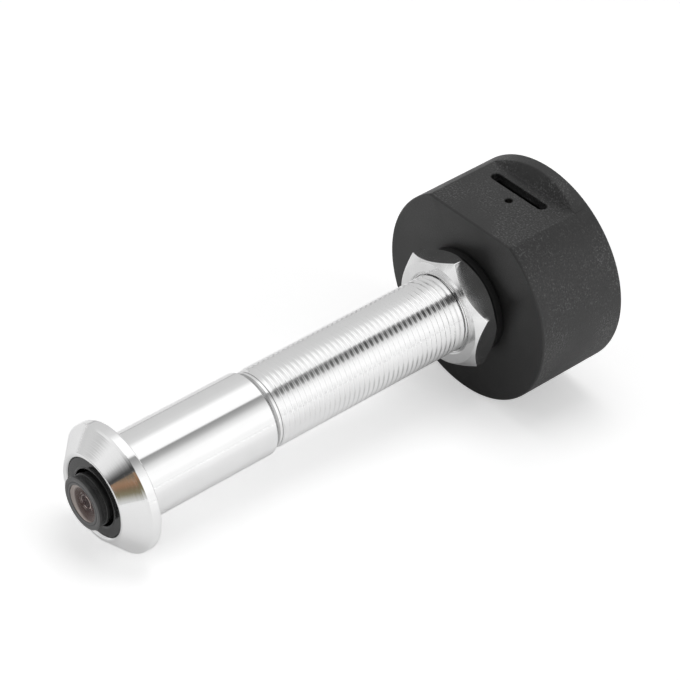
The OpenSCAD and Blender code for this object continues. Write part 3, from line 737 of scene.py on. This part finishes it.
def nut_column(angle):
    """The nut's section at an angle in degrees from a corner."""
    r = hexagon_radius(angle)
    rise = (r - NUT_FACE_R) * math.tan(math.radians(NUT_CHAMFER))
    edge = min(NUT_EDGE, (r - NUT_FACE_R) * 0.4)
    return rounded([
        (NUT_BORE_R, NUT_Y + 0.34),
        (NUT_BORE_R + 0.12, NUT_Y + 0.3, 0.02),
        (NUT_BORE_R + 0.16, NUT_Y + 0.2, 0.02),
        (NUT_BORE_R + 0.34, NUT_Y + 0.16, 0.03),
        (NUT_BORE_R + 0.38, NUT_Y + 0.07, 0.02),
        (NUT_BORE_R + 0.62, NUT_Y, 0.05),
        (NUT_FACE_R, NUT_Y, 0.06),
        (r, NUT_Y + rise, edge),
        (r, NUT_BACK - rise, edge),
        (NUT_FACE_R, NUT_BACK, 0.06),
        (SPIGOT_R, NUT_BACK),
        (SPIGOT_R, SPIGOT_END - SPIGOT_LIP),
        (SPIGOT_R + SPIGOT_LIP, SPIGOT_END - SPIGOT_LIP),
        (SPIGOT_R + SPIGOT_LIP, SPIGOT_END),
        (NUT_BORE_R, SPIGOT_END),
    ])


def make_nut():
    """A chamfered hexagon nut with a short spigot that holds the washer."""
    paths = []
    for corner in range(6):
        for angle in [*NEAR_CORNER, *ALONG_SIDE]:
            turned = math.radians(NUT_TURN + 60 * corner) + math.radians(angle)
            paths.append(stand(nut_column(angle), turned))
    piece = columns("hexagon_nut", paths)
    smooth(piece, 30)
    fit_out(piece, "nut", "nut_metal", ["clamp_nut"])


def make_washer():
    front, back, r = extent("nut_washer")
    bore = SPIGOT_R + WASHER_CLEARANCE
    piece = lathe("captive_washer", [
        (bore, front, 0.08),
        (r, front, 0.15),
        (r, back, 0.15),
        (bore + SPIGOT_LIP, back, 0.05),
        (bore + SPIGOT_LIP, back - WASHER_STEP),
        (bore, back - WASHER_STEP),
    ])
    fit_out(piece, "washer", "washer_black", ["nut_washer"])


# The head

FLAT_Z = 15.6
FLAT_EDGE = 0.5
# The wall behind the slot: its foot, how far it leans back, and its roundings at foot and top
WALL_Y = 83.8
WALL_LEAN = 0.49
WALL_FOOT = 0.1
WALL_TOP = 0.18
# The most of the wall's height that one rounding takes up
WALL_SHARE = 0.4
BEND_STEPS = 4
HEAD_WALL = 1.5
HEAD_EDGE = 0.35
EDGE_STEPS = 5
HEAD_FRONT_T = 1.6
INNER_EDGE = 0.3
MOUTH_CLEARANCE = 0.2
# A ring of points that keeps the front face flat
FRONT_RING_R = 12.0
COVER_R = 16.9
COVER_Y = 85.4
COVER_EDGE = 0.15
COVER_STEPS = 3
# The collar inside the head that holds the barrel's socket
COLLAR_R = 10.5
COLLAR_END = HEAD_Y + 6.7
SOCKET_R = 9.05
SOCKET_Y = HEAD_Y + 1.2
HEAD_SEGMENTS = 180
# Extra columns at each end of the flat, in degrees, and the least gap between two columns
CORNER_STEP = 0.35
CORNER_COUNT = 16
LEAST_GAP = 0.2


def flat_radius(angle, r, flat, corner):
    """Distance to the side of a circle with a flat on top and rounded corners between them."""
    across = math.sqrt((r - corner) ** 2 - (flat - corner) ** 2)
    a = abs(math.atan2(math.cos(angle), math.sin(angle)))
    flat_end = math.atan2(across, flat)
    round_end = math.atan2(across, flat - corner)
    if a <= flat_end:
        return flat / math.cos(a)
    if a >= round_end:
        return r
    middle = math.hypot(across, flat - corner)
    off = a - round_end
    return middle * math.cos(off) + math.sqrt(corner ** 2 - (middle * math.sin(off)) ** 2)


def bend(before, corner, after):
    """Points along a curve that rounds a corner."""
    found = []
    for i in range(BEND_STEPS + 1):
        t = i / BEND_STEPS
        found.append(tuple(
            before[k] * (1 - t) ** 2 + corner[k] * 2 * t * (1 - t) + after[k] * t ** 2 for k in (0, 1)))
    return found


def lip_wall(angle):
    """From the flat up the leaning wall behind the slot, and round onto the lip."""
    lean = max(0.0, HEAD_R * math.sin(angle) - FLAT_Z) * WALL_LEAN
    foot = Vector((flat_radius(angle, HEAD_R, FLAT_Z, FLAT_EDGE), WALL_Y))
    top = Vector((HEAD_R, WALL_Y + lean))
    up = top - foot
    length = up.length
    if length > 0:
        up.normalize()
    foot_round = min(WALL_FOOT, length * WALL_SHARE)
    top_round = min(WALL_TOP, length * WALL_SHARE)
    points = bend(foot - Vector((0, foot_round)), foot, foot + up * foot_round)
    return points + bend(top - up * top_round, top, top + Vector((0, top_round)))


def head_column(angle):
    """The head's section along one angle: front face, side, pocket wall, lip, rear and inside."""
    mouth_r = NUT_BORE_R + MOUTH_CLEARANCE
    path = [(mouth_r, SOCKET_Y), (mouth_r, HEAD_Y), (FRONT_RING_R, HEAD_Y)]
    for out, y in sweep((0, HEAD_Y + HEAD_EDGE), HEAD_EDGE, -90, 90, EDGE_STEPS):
        inset = HEAD_EDGE - out
        path.append((flat_radius(angle, HEAD_R - inset, FLAT_Z - inset, FLAT_EDGE - inset), y))
    path += lip_wall(angle)
    path += sweep((HEAD_R - HEAD_EDGE, HEAD_END - HEAD_EDGE), HEAD_EDGE, 0, 90, EDGE_STEPS)
    path += sweep((COVER_R + COVER_EDGE, HEAD_END - COVER_EDGE), COVER_EDGE, 90, 90, COVER_STEPS)
    inner_r = flat_radius(angle, HEAD_R - HEAD_WALL, FLAT_Z - HEAD_WALL, INNER_EDGE)
    return path + [
        (COVER_R, COVER_Y),
        (inner_r, COVER_Y),
        (inner_r, HEAD_Y + HEAD_FRONT_T),
        (COLLAR_R, HEAD_Y + HEAD_FRONT_T),
        (COLLAR_R, COLLAR_END),
        (SOCKET_R, COLLAR_END),
        (SOCKET_R, SOCKET_Y),
    ]


def head_angles():
    """Angles round the head, closer together where the flat's corners are."""
    found = [2 * math.pi * i / HEAD_SEGMENTS for i in range(HEAD_SEGMENTS)]
    corner = math.acos(FLAT_Z / HEAD_R)
    fan = [math.radians(CORNER_STEP * i) for i in range(-CORNER_COUNT, CORNER_COUNT + 1)]
    for middle in (math.pi / 2 - corner, math.pi / 2 + corner):
        found += [middle + a for a in fan]
    found.sort()
    kept = [found[0]]
    for a in found[1:]:
        if a - kept[-1] > math.radians(LEAST_GAP):
            kept.append(a)
    return kept


# The card slot and the pinhole, which is cut as the shortest of slots: x, y, length, width, bevel
CARD_SLOT = (-0.7, 81.2, 12.2, 1.8, 0.12)
PINHOLE = (0.1, 78.2, 1.3, 1.299, 0.1)
# How far a slot's cutter goes in and stands out
CUT_IN = 3
CUT_OUT = 0.3
CUT_STEPS = 12
# The opening of the power inlet, from where to where on each axis
INLET = ((-4.05, 4.05), (79.9, 83.2), (-HEAD_R - 1, -12.1))


def slot_cutter(x, y, length, width, bevel):
    """A round-ended slot through the flat, a little wider at its mouth."""
    levels = ((FLAT_Z - CUT_IN, 0), (FLAT_Z - bevel, 0), (FLAT_Z + CUT_OUT, bevel + CUT_OUT))
    reach = length / 2 - width / 2
    points = []
    for z, wider in levels:
        r = width / 2 + wider
        for middle, start in ((x + reach, -90), (x - reach, 90)):
            points += [(*place, z) for place in sweep((middle, y), r, start, 180, CUT_STEPS)]
    n = len(points) // len(levels)
    faces = [tuple(reversed(range(n))), tuple(range(2 * n, 3 * n))]
    cutter = add_mesh("cutter", points, faces + strip(1, 0, n) + strip(2, 1, n))
    clean_up(cutter)
    return cutter


def block_cutter(x, y, z, spin=0, centre=(0, 0)):
    """A block between two values on each axis, turned by spin degrees and moved to centre."""
    sine = math.sin(math.radians(spin))
    cosine = math.cos(math.radians(spin))
    corners = [
        (centre[0] + a * cosine - c * sine, b, centre[1] + a * sine + c * cosine)
        for c in z for b in y for a in x
    ]
    faces = [(0, 2, 3, 1), (4, 5, 7, 6), (0, 1, 5, 4), (2, 6, 7, 3), (0, 4, 6, 2), (1, 3, 7, 5)]
    cutter = add_mesh("cutter", corners, faces)
    clean_up(cutter)
    return cutter


def make_head():
    """The round housing with its flat, lip, card slot, pinhole and the opening of the inlet."""
    piece = columns("head_housing", [stand(head_column(a), a) for a in head_angles()])
    cut(piece, slot_cutter(*CARD_SLOT))
    cut(piece, slot_cutter(*PINHOLE))
    cut(piece, block_cutter(*INLET))
    clean_up(piece, CUT_MERGE)
    smooth(piece, 32)
    fit_out(piece, "head", "head_black", ["head_shell"])


# The lens

INSERT_BORE_R = 5.3
INSERT_LIP_R = 4.73
LENS_BODY_R = 4.0
LENS_STEP_R = 4.2
STEP_SPLIT = 0.06
NECK_Y = LENS_Y + 0.7
STEP_Y = NECK_Y + 0.6
STEP_END = STEP_Y + 0.8
SHOULDER_Y = -0.3
REAR_BODY_R = 3.5
REAR_SEAT_R = 2.6
REAR_SEAT_Y = 2.2
LIGHT_R = 2.0
MIDDLE_SEAT_R = 3.1
MIDDLE_SEAT_Y = -0.7
GLASS_SEAT_R = 3.6
GLASS_SEAT_Y = LENS_Y + 1.95
GLASS_R = 3.1
GLASS_FLANGE_R = 3.55
RETAINER_END = LENS_Y + 0.65
# The front glass: its outer dome, and the bowl behind it down to the pupil
GLASS_EDGE_R = GLASS_R - 0.02
DOME_ROUND = 50.0
DOME_OUT = 0.01
DOME_STEPS = 12
BRIM = 0.04
BOWL_DEPTH = 0.62
BOWL_STEPS = 8
PUPIL_R = 0.95
# Between the bowl and what lies behind it
BOWL_GAP = 0.02
# The hollow that leaves room for the next lens
HOLLOW_R = 2.9
HOLLOW_Y = GLASS_SEAT_Y + 1.9
HOLLOW_TURN = 40.0
SEAT_FRONT = LENS_Y + 0.72
SEAT_BACK = LENS_Y + 1.9


def make_insert():
    """The dark ring round the well that the lens stands in."""
    face, back, outer = extent("bezel_insert")
    insert = lathe("bezel_ring", [
        (outer, face, 0.06),
        (outer, back),
        (INSERT_BORE_R, back),
        (INSERT_BORE_R, face + 0.45, 0.05),
        (INSERT_LIP_R, face + 0.3, 0.05),
        (INSERT_LIP_R, face + 0.02, 0.06),
        (INSERT_LIP_R + 0.16, face - 0.03, 0.06),
        (INSERT_LIP_R + 0.34, face + 0.06, 0.2),
    ])
    fit_out(insert, "barrel", "insert_black", ["bezel_insert"])


def make_lens_body():
    """The stepped lens body, with a paler front ring."""
    body = lathe("lens_body", [
        (GLASS_SEAT_R, LENS_Y + 0.03, 0.02),
        (LENS_RING_R - 0.3, LENS_Y, 0.1),
        (LENS_RING_R - 0.02, LENS_Y + 0.07, 0.05),
        (LENS_RING_R, LENS_Y + 0.2, 0.05),
        (LENS_RING_R, NECK_Y, 0.06),
        (LENS_BODY_R, NECK_Y, 0.04),
        (LENS_BODY_R, STEP_Y, 0.04),
        (LENS_STEP_R - STEP_SPLIT, STEP_Y, 0.03),
        (LENS_STEP_R - STEP_SPLIT, STEP_Y + 0.2, 0.02),
        (LENS_STEP_R + STEP_SPLIT, STEP_Y + 0.3, 0.03),
        (LENS_STEP_R + STEP_SPLIT, STEP_END, 0.06),
        (LENS_BODY_R, STEP_END, 0.04),
        (LENS_BODY_R, SHOULDER_Y),
        (REAR_BODY_R, SHOULDER_Y),
        (REAR_BODY_R, LENS_END),
        (REAR_SEAT_R, LENS_END),
        (REAR_SEAT_R, REAR_SEAT_Y),
        (LIGHT_R, REAR_SEAT_Y),
        (LIGHT_R, MIDDLE_SEAT_Y),
        (MIDDLE_SEAT_R, MIDDLE_SEAT_Y),
        (MIDDLE_SEAT_R, GLASS_SEAT_Y),
        (GLASS_SEAT_R, GLASS_SEAT_Y),
    ])
    fit_out(body, "head", "lens_black", ["lens_barrel"], "lens_black", "lens_ring")
    for polygon in body.data.polygons:
        if polygon.center.y / MM < LENS_Y + 0.12:
            polygon.material_index = 1


def make_retainer():
    """The ring that holds the front glass."""
    ring = lathe("glass_retainer", [
        (GLASS_R, LENS_Y + 0.2, 0.02),
        (GLASS_R + 0.02, LENS_Y + 0.05, 0.02),
        (GLASS_R + 0.12, LENS_Y + 0.01, 0.03),
        (GLASS_FLANGE_R, LENS_Y + 0.01, 0.03),
        (GLASS_FLANGE_R, RETAINER_END),
        (GLASS_R, RETAINER_END),
    ])
    fit_out(ring, "head", "lens_black", ["lens_retainer"], "lens_ring")


def make_front_glass():
    """The coated front glass and the black seat behind it, up to the next lens."""
    spread = math.degrees(math.asin(GLASS_EDGE_R / DOME_ROUND))
    dome = sweep((0, LENS_Y + DOME_OUT + DOME_ROUND), DOME_ROUND, -90, spread, DOME_STEPS)
    dome_end = dome[-1][1]
    bowl = []
    for i in range(BOWL_STEPS + 1):
        t = i / BOWL_STEPS
        deep = BOWL_DEPTH * math.sin(t * math.pi / 2)
        bowl.append((GLASS_EDGE_R + (PUPIL_R - GLASS_EDGE_R) * t, dome_end + BRIM + deep))
    bowl_end = bowl[-1][1]
    glass = lathe("front_lens", dome + bowl + [(0, bowl_end + BOWL_GAP)])
    fit_out(glass, "head", "coated_glass", ["front_glass"], "coated_glass", "clear_front")
    for polygon in glass.data.polygons:
        if polygon.normal.y < -0.9 and polygon.center.y / MM < dome_end:
            polygon.material_index = 1

    hollow = sweep((0, HOLLOW_Y), HOLLOW_R, HOLLOW_TURN - 90, -HOLLOW_TURN, BOWL_STEPS)
    backing = lathe("lens_seat", [
        (0, bowl_end + 2 * BOWL_GAP),
        *[(r, y + BOWL_GAP) for r, y in reversed(bowl)],
        (GLASS_EDGE_R, SEAT_FRONT),
        (GLASS_FLANGE_R, SEAT_FRONT),
        (GLASS_FLANGE_R, SEAT_BACK),
        (hollow[0][0], SEAT_BACK),
        *hollow[1:],
    ])
    fit_out(backing, "head", "coated_glass", [], "lens_black")


# The rear

REAR_SEGMENTS = 192
BOSS_ANGLES = (24, 156, 204, 336)
BOSS_R = 15.2
WELL_R = 1.45
WELL_Y = 86.0
WELL_BEVEL = 0.12
WELL_OUT = 0.2
WELL_SEGMENTS = 40
HOLE_R = 0.9
SHANK_R = 0.65
SHANK_L = 5.2
SCREW_Y = WELL_Y + 0.02
SCREW_HEAD_R = 1.35
SCREW_HEAD_H = 0.6
SCREW_SEGMENTS = 48
# A bar of a screw's cross recess, before it is turned
CROSS_BAR = ((-0.75, 0.75), (SCREW_Y + 0.22, SCREW_Y + 1), (-0.13, 0.13))


def boss_centre(angle):
    a = math.radians(angle)
    return (BOSS_R * math.cos(a), BOSS_R * math.sin(a))


def make_cover():
    """The rear cover with the wells of its screws."""
    front, back, r = extent("rear_cover")
    cover = lathe("rear_plate", [
        (0, front),
        (r, front, 0.1),
        (r, back, 0.22),
        (0, back),
    ], REAR_SEGMENTS)
    for angle in BOSS_ANGLES:
        cut(cover, lathe("cutter", [
            (0, front - 1),
            (HOLE_R, front - 1),
            (HOLE_R, WELL_Y),
            (WELL_R, WELL_Y),
            (WELL_R, back - WELL_BEVEL),
            (WELL_R + WELL_BEVEL + WELL_OUT, back + WELL_OUT),
            (0, back + WELL_OUT),
        ], WELL_SEGMENTS, boss_centre(angle)))
    clean_up(cover, CUT_MERGE)
    smooth(cover, 32)
    fit_out(cover, "head", "head_black", ["rear_cover"])


def make_cover_screws():
    """The cover's cross screws, sunk in their wells."""
    heads = []
    for angle in BOSS_ANGLES:
        centre = boss_centre(angle)
        screw = lathe("screw_blank", [
            (0, SCREW_Y - SHANK_L),
            (SHANK_R, SCREW_Y - SHANK_L, 0.1),
            (SHANK_R, SCREW_Y),
            (SCREW_HEAD_R, SCREW_Y, 0.05),
            (SCREW_HEAD_R, SCREW_Y + SCREW_HEAD_H, 0.3),
            (0, SCREW_Y + SCREW_HEAD_H),
        ], SCREW_SEGMENTS, centre)
        for spin in (0, 90):
            cut(screw, block_cutter(*CROSS_BAR, spin + angle, centre))
        heads.append(screw)
    screws = join("cover_screw_set", heads)
    clean_up(screws, CUT_MERGE)
    smooth(screws, 32)
    fit_out(screws, "head", "screw_black", ["cover_screws"])


def dress_nodes():
    """The CAD nodes that no piece stands for get the finish of their record slot."""
    slots = {
        "seal_rubber": ["lens_seal"],
        "brass": ["barrel_socket"],
        "tube_metal": ["lens_tube"],
        "screw_steel": ["tube_screws", "board_screws", "card_spring"],
        "lens_black": ["lens_holder", "lens_spacer", "aperture_stop", "rear_retainer"],
        "inner_glass": ["middle_glass", "rear_glass", "infrared_filter"],
        "board_green": ["sensor_board", "main_board"],
        "board_blue": ["radio_board"],
        "chip_black": ["image_sensor", "processor", "memory_chip", "reset_switch", "usb_tongue"],
        "can_metal": ["radio_shield", "card_socket", "usb_socket"],
        "flex_amber": ["flex_cable"],
        "ivory_plastic": ["flex_connector", "card_slider", "reset_button"],
        "ceramic_white": ["chip_antenna"],
    }
    for slot, names in slots.items():
        for name in names:
            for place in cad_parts[name].material_slots:
                place.material = finish[slot]


# The lamps: each one's name, its place, what it points at, its side, and its power in watts
LAMPS = (
    ("top", (0, 120, 420), (0, 40, 0), 260, 0.55),
    ("left", (-360, -260, 140), (0, 40, 0), 220, 0.55),
    ("right", (400, 240, 150), (0, 78, 0), 240, 0.5),
)


def add_lamp(name, place, target, side, power):
    """A soft square lamp that polished metal doesn't mirror."""
    data = bpy.data.lights.new(name, "AREA")
    data.size = side * MM
    data.energy = power
    lamp = bpy.data.objects.new(name, data)
    lamp.location = Vector(place) * MM
    aim = Vector(target) - Vector(place)
    lamp.rotation_mode = "QUATERNION"
    lamp.rotation_quaternion = aim.to_track_quat("-Z", "Y")
    lamp.visible_glossy = False
    bpy.context.scene.collection.objects.link(lamp)


# The world. Its tones and places were tuned until what the metal mirrors came close to the
# photograph. Ranges are of a direction's parts, from -1 to 1.

# How strongly the plain white world lights what isn't polished
WORLD_LIGHT = 0.42
# Tones round the barrel, by the share of a turn from straight down through +X and up
WALL_TONES = (
    (0.00, 1.10), (0.04, 1.15), (0.07, 1.08), (0.105, 0.74), (0.15, 0.66), (0.25, 0.62),
    (0.33, 0.66), (0.42, 0.60), (0.47, 0.48), (0.53, 0.58), (0.60, 0.72), (0.70, 0.98),
    (0.75, 1.0), (0.77, 1.0), (0.80, 1.10), (0.855, 1.05), (0.895, 0.76), (0.925, 0.44),
    (0.945, 0.34), (0.957, 0.31), (0.968, 1.05), (1.0, 1.10),
)
# In front, near the floor, the walls are darker
LOW_AHEAD = (0.7, 0.9)
LOW_HEIGHT = (0.02, 0.12)
LOW_DARK = 0.45
# Above, from level to well forward, a gap between the walls is almost black. Only slopes of
# about 10 to 40 degrees towards the bezel mirror it, which are the flanks of the thread. Its
# sides are shares of a turn
GAP_START = (0.892, 0.910)
GAP_END = (0.972, 0.986)
GAP_BACK = (0.02, 0.22)
GAP_AHEAD = (0.66, 0.80)
GAP_DARK = 0.9
# The directions that the bezel's cone mirrors lie along an arc in front of it. A direction's
# place on the arc is its part along the first of these, and its distance from it the second's
ARC_ALONG = (-0.705, -0.023, 0.709)
ARC_ACROSS = (-0.660, -0.346, -0.667)
ARC_START = -0.45
ARC_END = 0.80
# The arc's tones, a dark gap between pale walls
ARC_TONES = (
    (0.0, grey(0.78)), (0.36, grey(0.90)), (0.42, grey(0.72)), (0.445, grey(0.07)),
    (0.50, grey(0.05)), (0.545, grey(0.14)), (0.61, grey(0.35)), (0.675, grey(0.66)),
    (0.735, grey(0.80)), (0.88, grey(0.875)), (0.91, grey(0.81)), (0.94, grey(0.72)),
    (0.97, grey(0.54)),
)
# Where the arc's tones take the place of the walls'
ARC_AHEAD = (0.40, 0.75)
ARC_HEIGHT = (0.10, 0.20)
ARC_FAR_SIDE = (-0.35, -0.20)
ARC_NEAR_SIDE = (0.18, 0.28)


def make_world():
    """A white studio. In its place polished and clear surfaces see the tones above."""
    world = bpy.data.worlds.new("studio")
    bpy.context.scene.world = world
    world.use_nodes = True
    n = Tree(world.node_tree)
    direction = n.add("ShaderNodeTexCoord").outputs["Generated"]
    x, y, z = n.parts(direction)
    ahead = n.times(y, -1.0)
    around = n.math("ARCTAN2", x, n.times(z, -1.0))
    share = n.math("ADD", n.math("DIVIDE", around, 2 * math.pi), 0.5)
    walls = n.ramp(share, *[(place, grey(level)) for place, level in WALL_TONES])

    near_floor = n.times(n.rise(ahead, *LOW_AHEAD), n.fall(z, *LOW_HEIGHT))
    gap = n.times(
        n.rise(share, *GAP_START),
        n.fall(share, *GAP_END),
        n.fall(y, *GAP_BACK),
        n.fall(ahead, *GAP_AHEAD),
    )
    dimmed = n.times(n.less(near_floor, LOW_DARK), n.less(gap, GAP_DARK))

    across = n.dot(direction, ARC_ACROSS)
    beside = n.math("MAXIMUM", n.rise(z, *ARC_HEIGHT), n.fall(across, *ARC_NEAR_SIDE))
    in_front = n.times(n.rise(ahead, *ARC_AHEAD), beside, n.rise(across, *ARC_FAR_SIDE))
    arc_tones = n.ramp(n.span(n.dot(direction, ARC_ALONG), ARC_START, ARC_END), *ARC_TONES)
    seen = n.mix_colours(in_front, n.scale(walls, dimmed), arc_tones)

    from_camera, from_polished = n.rays()
    lit = n.fed("ShaderNodeBackground", {"Color": WHITE, "Strength": WORLD_LIGHT})
    mirrored = n.fed("ShaderNodeBackground", {"Color": seen})
    shown = n.fed("ShaderNodeBackground", {"Color": WHITE})
    surface = n.mix_shaders(from_camera, n.mix_shaders(from_polished, lit, mirrored), shown)
    n.feed(surface, n.add("ShaderNodeOutputWorld").inputs["Surface"])


# The floor

# The part leans on its bezel's rim and on the front edge of its head
FLOOR_TILT = math.atan((HEAD_R - FLANGE_R) / (HEAD_Y + 1.0))
FLOOR_GAP = 0.05
FLOOR_REACH = 3000
# What the floor adds to its own colour where the camera sees it, to be white
FLOOR_GLOW = 0.4
# What polished metal sees the floor add on either side of the object, by x
SIDE_GLOW = (
    (-400, 0.0), (-120, 0.12), (-30, 0.13), (-8, 0.03), (5, 0.07), (18, 0.13), (28, 0.17),
    (67, 0.25), (177, 0.24), (400, 0.32), (1200, 0.49), (2800, 0.60),
)
# A painted shadow: to polished metal and the black parts the floor looks darker close to the head's
# foot, by y and by the distance to either side
FOOT_SHADOW_DARK = 0.5
FOOT_ALONG = (40, 64)
FOOT_ASIDE = (10, 30)
# Polished metal doesn't see the floor further in front of the bezel than this
FRONT_NEAR = -45
FRONT_FAR = -130


def make_floor():
    """A pale floor that takes the object's shadow and is white where nothing shades it. To polished
    surfaces it shows a painted shadow near the head's foot.
    """
    rise = FLOOR_REACH * math.tan(FLOOR_TILT)
    level = -FLANGE_R - FLOOR_GAP
    piece = add_mesh("floor", [
        (-FLOOR_REACH, -FLOOR_REACH, level + rise),
        (FLOOR_REACH, -FLOOR_REACH, level + rise),
        (FLOOR_REACH, FLOOR_REACH, level - rise),
        (-FLOOR_REACH, FLOOR_REACH, level - rise),
    ], [(0, 1, 2, 3)])
    n = Finish("floor_white")
    x, y, z = n.axes()
    from_camera, from_polished = n.rays()
    # Painted shadow near the head's foot, which only polished surfaces see
    aside = n.span(n.math("ABSOLUTE", x), *FOOT_ASIDE, 1.0, 0.0)
    foot = n.times(n.span(y, *FOOT_ALONG, 0.0, FOOT_SHADOW_DARK), aside)
    outside_painted_shadow = n.less(n.times(from_polished, foot))
    paper = n.shades(n.noise(0.002, 1.0), grey(0.84), grey(0.86))
    first = SIDE_GLOW[0][0]
    last = SIDE_GLOW[-1][0]
    stops = [((at - first) / (last - first), grey(level)) for at, level in SIDE_GLOW]
    side = n.times(from_polished, n.ramp(n.span(x, first, last), *stops), outside_painted_shadow)
    n.set(
        Roughness=0.9,
        Specular_IOR_Level=0.0,
        Base_Color=n.scale(paper, outside_painted_shadow),
        Emission_Color=WHITE,
        Emission_Strength=n.math("ADD", n.times(from_camera, FLOOR_GLOW), side),
    )
    below = n.add("ShaderNodeNewGeometry").outputs["Backfacing"]
    front = n.times(from_polished, n.span(y, FRONT_FAR, FRONT_NEAR, 1.0, 0.0))
    hidden = n.math("MAXIMUM", below, front)
    clear = n.add("ShaderNodeBsdfTransparent").outputs[0]
    n.show(n.mix_shaders(hidden, n.shader.outputs["BSDF"], clear))
    piece.data.materials.append(n.material)


# A brown and olive card that the bezel's cone mirrors: how far from the cone it stands, half its
# width, and its tones by the angle round the bezel that mirrors them
CARD_AWAY = 22
CARD_HALF = 4
CARD_POINTS = 25
CARD_TONES = (
    (26.0, (0.66, 0.66, 0.66)), (28.5, (0.59, 0.59, 0.57)), (31.5, (0.41, 0.40, 0.36)),
    (34.6, (0.21, 0.19, 0.125)), (36.5, (0.195, 0.17, 0.105)), (40.0, (0.185, 0.135, 0.085)),
    (44.0, (0.30, 0.172, 0.105)), (48.5, (0.30, 0.20, 0.13)), (50.5, (0.18, 0.14, 0.10)),
)
# The middle of the cone, and how much of its normal points outward
CONE_R = 8.7
CONE_Y = -3.5
CONE_LEAN = 0.697


def card_place(degrees, eye):
    """Where the card stands for an angle round the bezel, and the direction from there on."""
    a = math.radians(degrees)
    point = Vector((CONE_R * math.cos(a), CONE_Y, CONE_R * math.sin(a)))
    forward = -math.sqrt(1 - CONE_LEAN ** 2)
    normal = Vector((CONE_LEAN * math.cos(a), forward, CONE_LEAN * math.sin(a)))
    view = (eye - point).normalized()
    away = normal * (2 * normal.dot(view)) - view
    return point + away * CARD_AWAY, away


def make_card(eye):
    """The card stands close to the bezel, so that nothing else on the part mirrors it."""
    first = CARD_TONES[0][0]
    last = CARD_TONES[-1][0]
    end = CARD_POINTS - 1
    middle = [card_place(first + (last - first) * i / end, eye) for i in range(CARD_POINTS)]
    points = []
    for i, (place, away) in enumerate(middle):
        along = middle[min(i + 1, end)][0] - middle[max(i - 1, 0)][0]
        across = away.cross(along).normalized() * CARD_HALF
        points += [place - across, place + across]
    faces = [(2 * i, 2 * i + 1, 2 * i + 3, 2 * i + 2) for i in range(end)]
    card = add_mesh("card", points, faces)
    n = Finish("card_tones")
    near = middle[0][0].z
    far = middle[-1][0].z
    stops = []
    for degrees, colour in CARD_TONES:
        stops.append(((card_place(degrees, eye)[0].z - near) / (far - near), colour))
    tones = n.ramp(n.span(n.axes()["Z"], near, far), *stops)
    n.show(n.fed("ShaderNodeEmission", {"Color": tones}))
    card.data.materials.append(n.material)
    for rays in ("camera", "diffuse", "transmission", "shadow"):
        setattr(card, "visible_" + rays, False)


bpy.context.scene.view_settings.view_transform = "Standard"
eye = place_camera()
finish = {name: make(name, *values) for name, (make, *values) in FINISHES.items()}
make_barrel()
make_nut()
make_washer()
make_head()
make_insert()
make_lens_body()
make_retainer()
make_front_glass()
make_cover()
make_cover_screws()
dress_nodes()
make_world()
make_floor()
make_card(eye)
for lamp in LAMPS:
    add_lamp(*lamp)
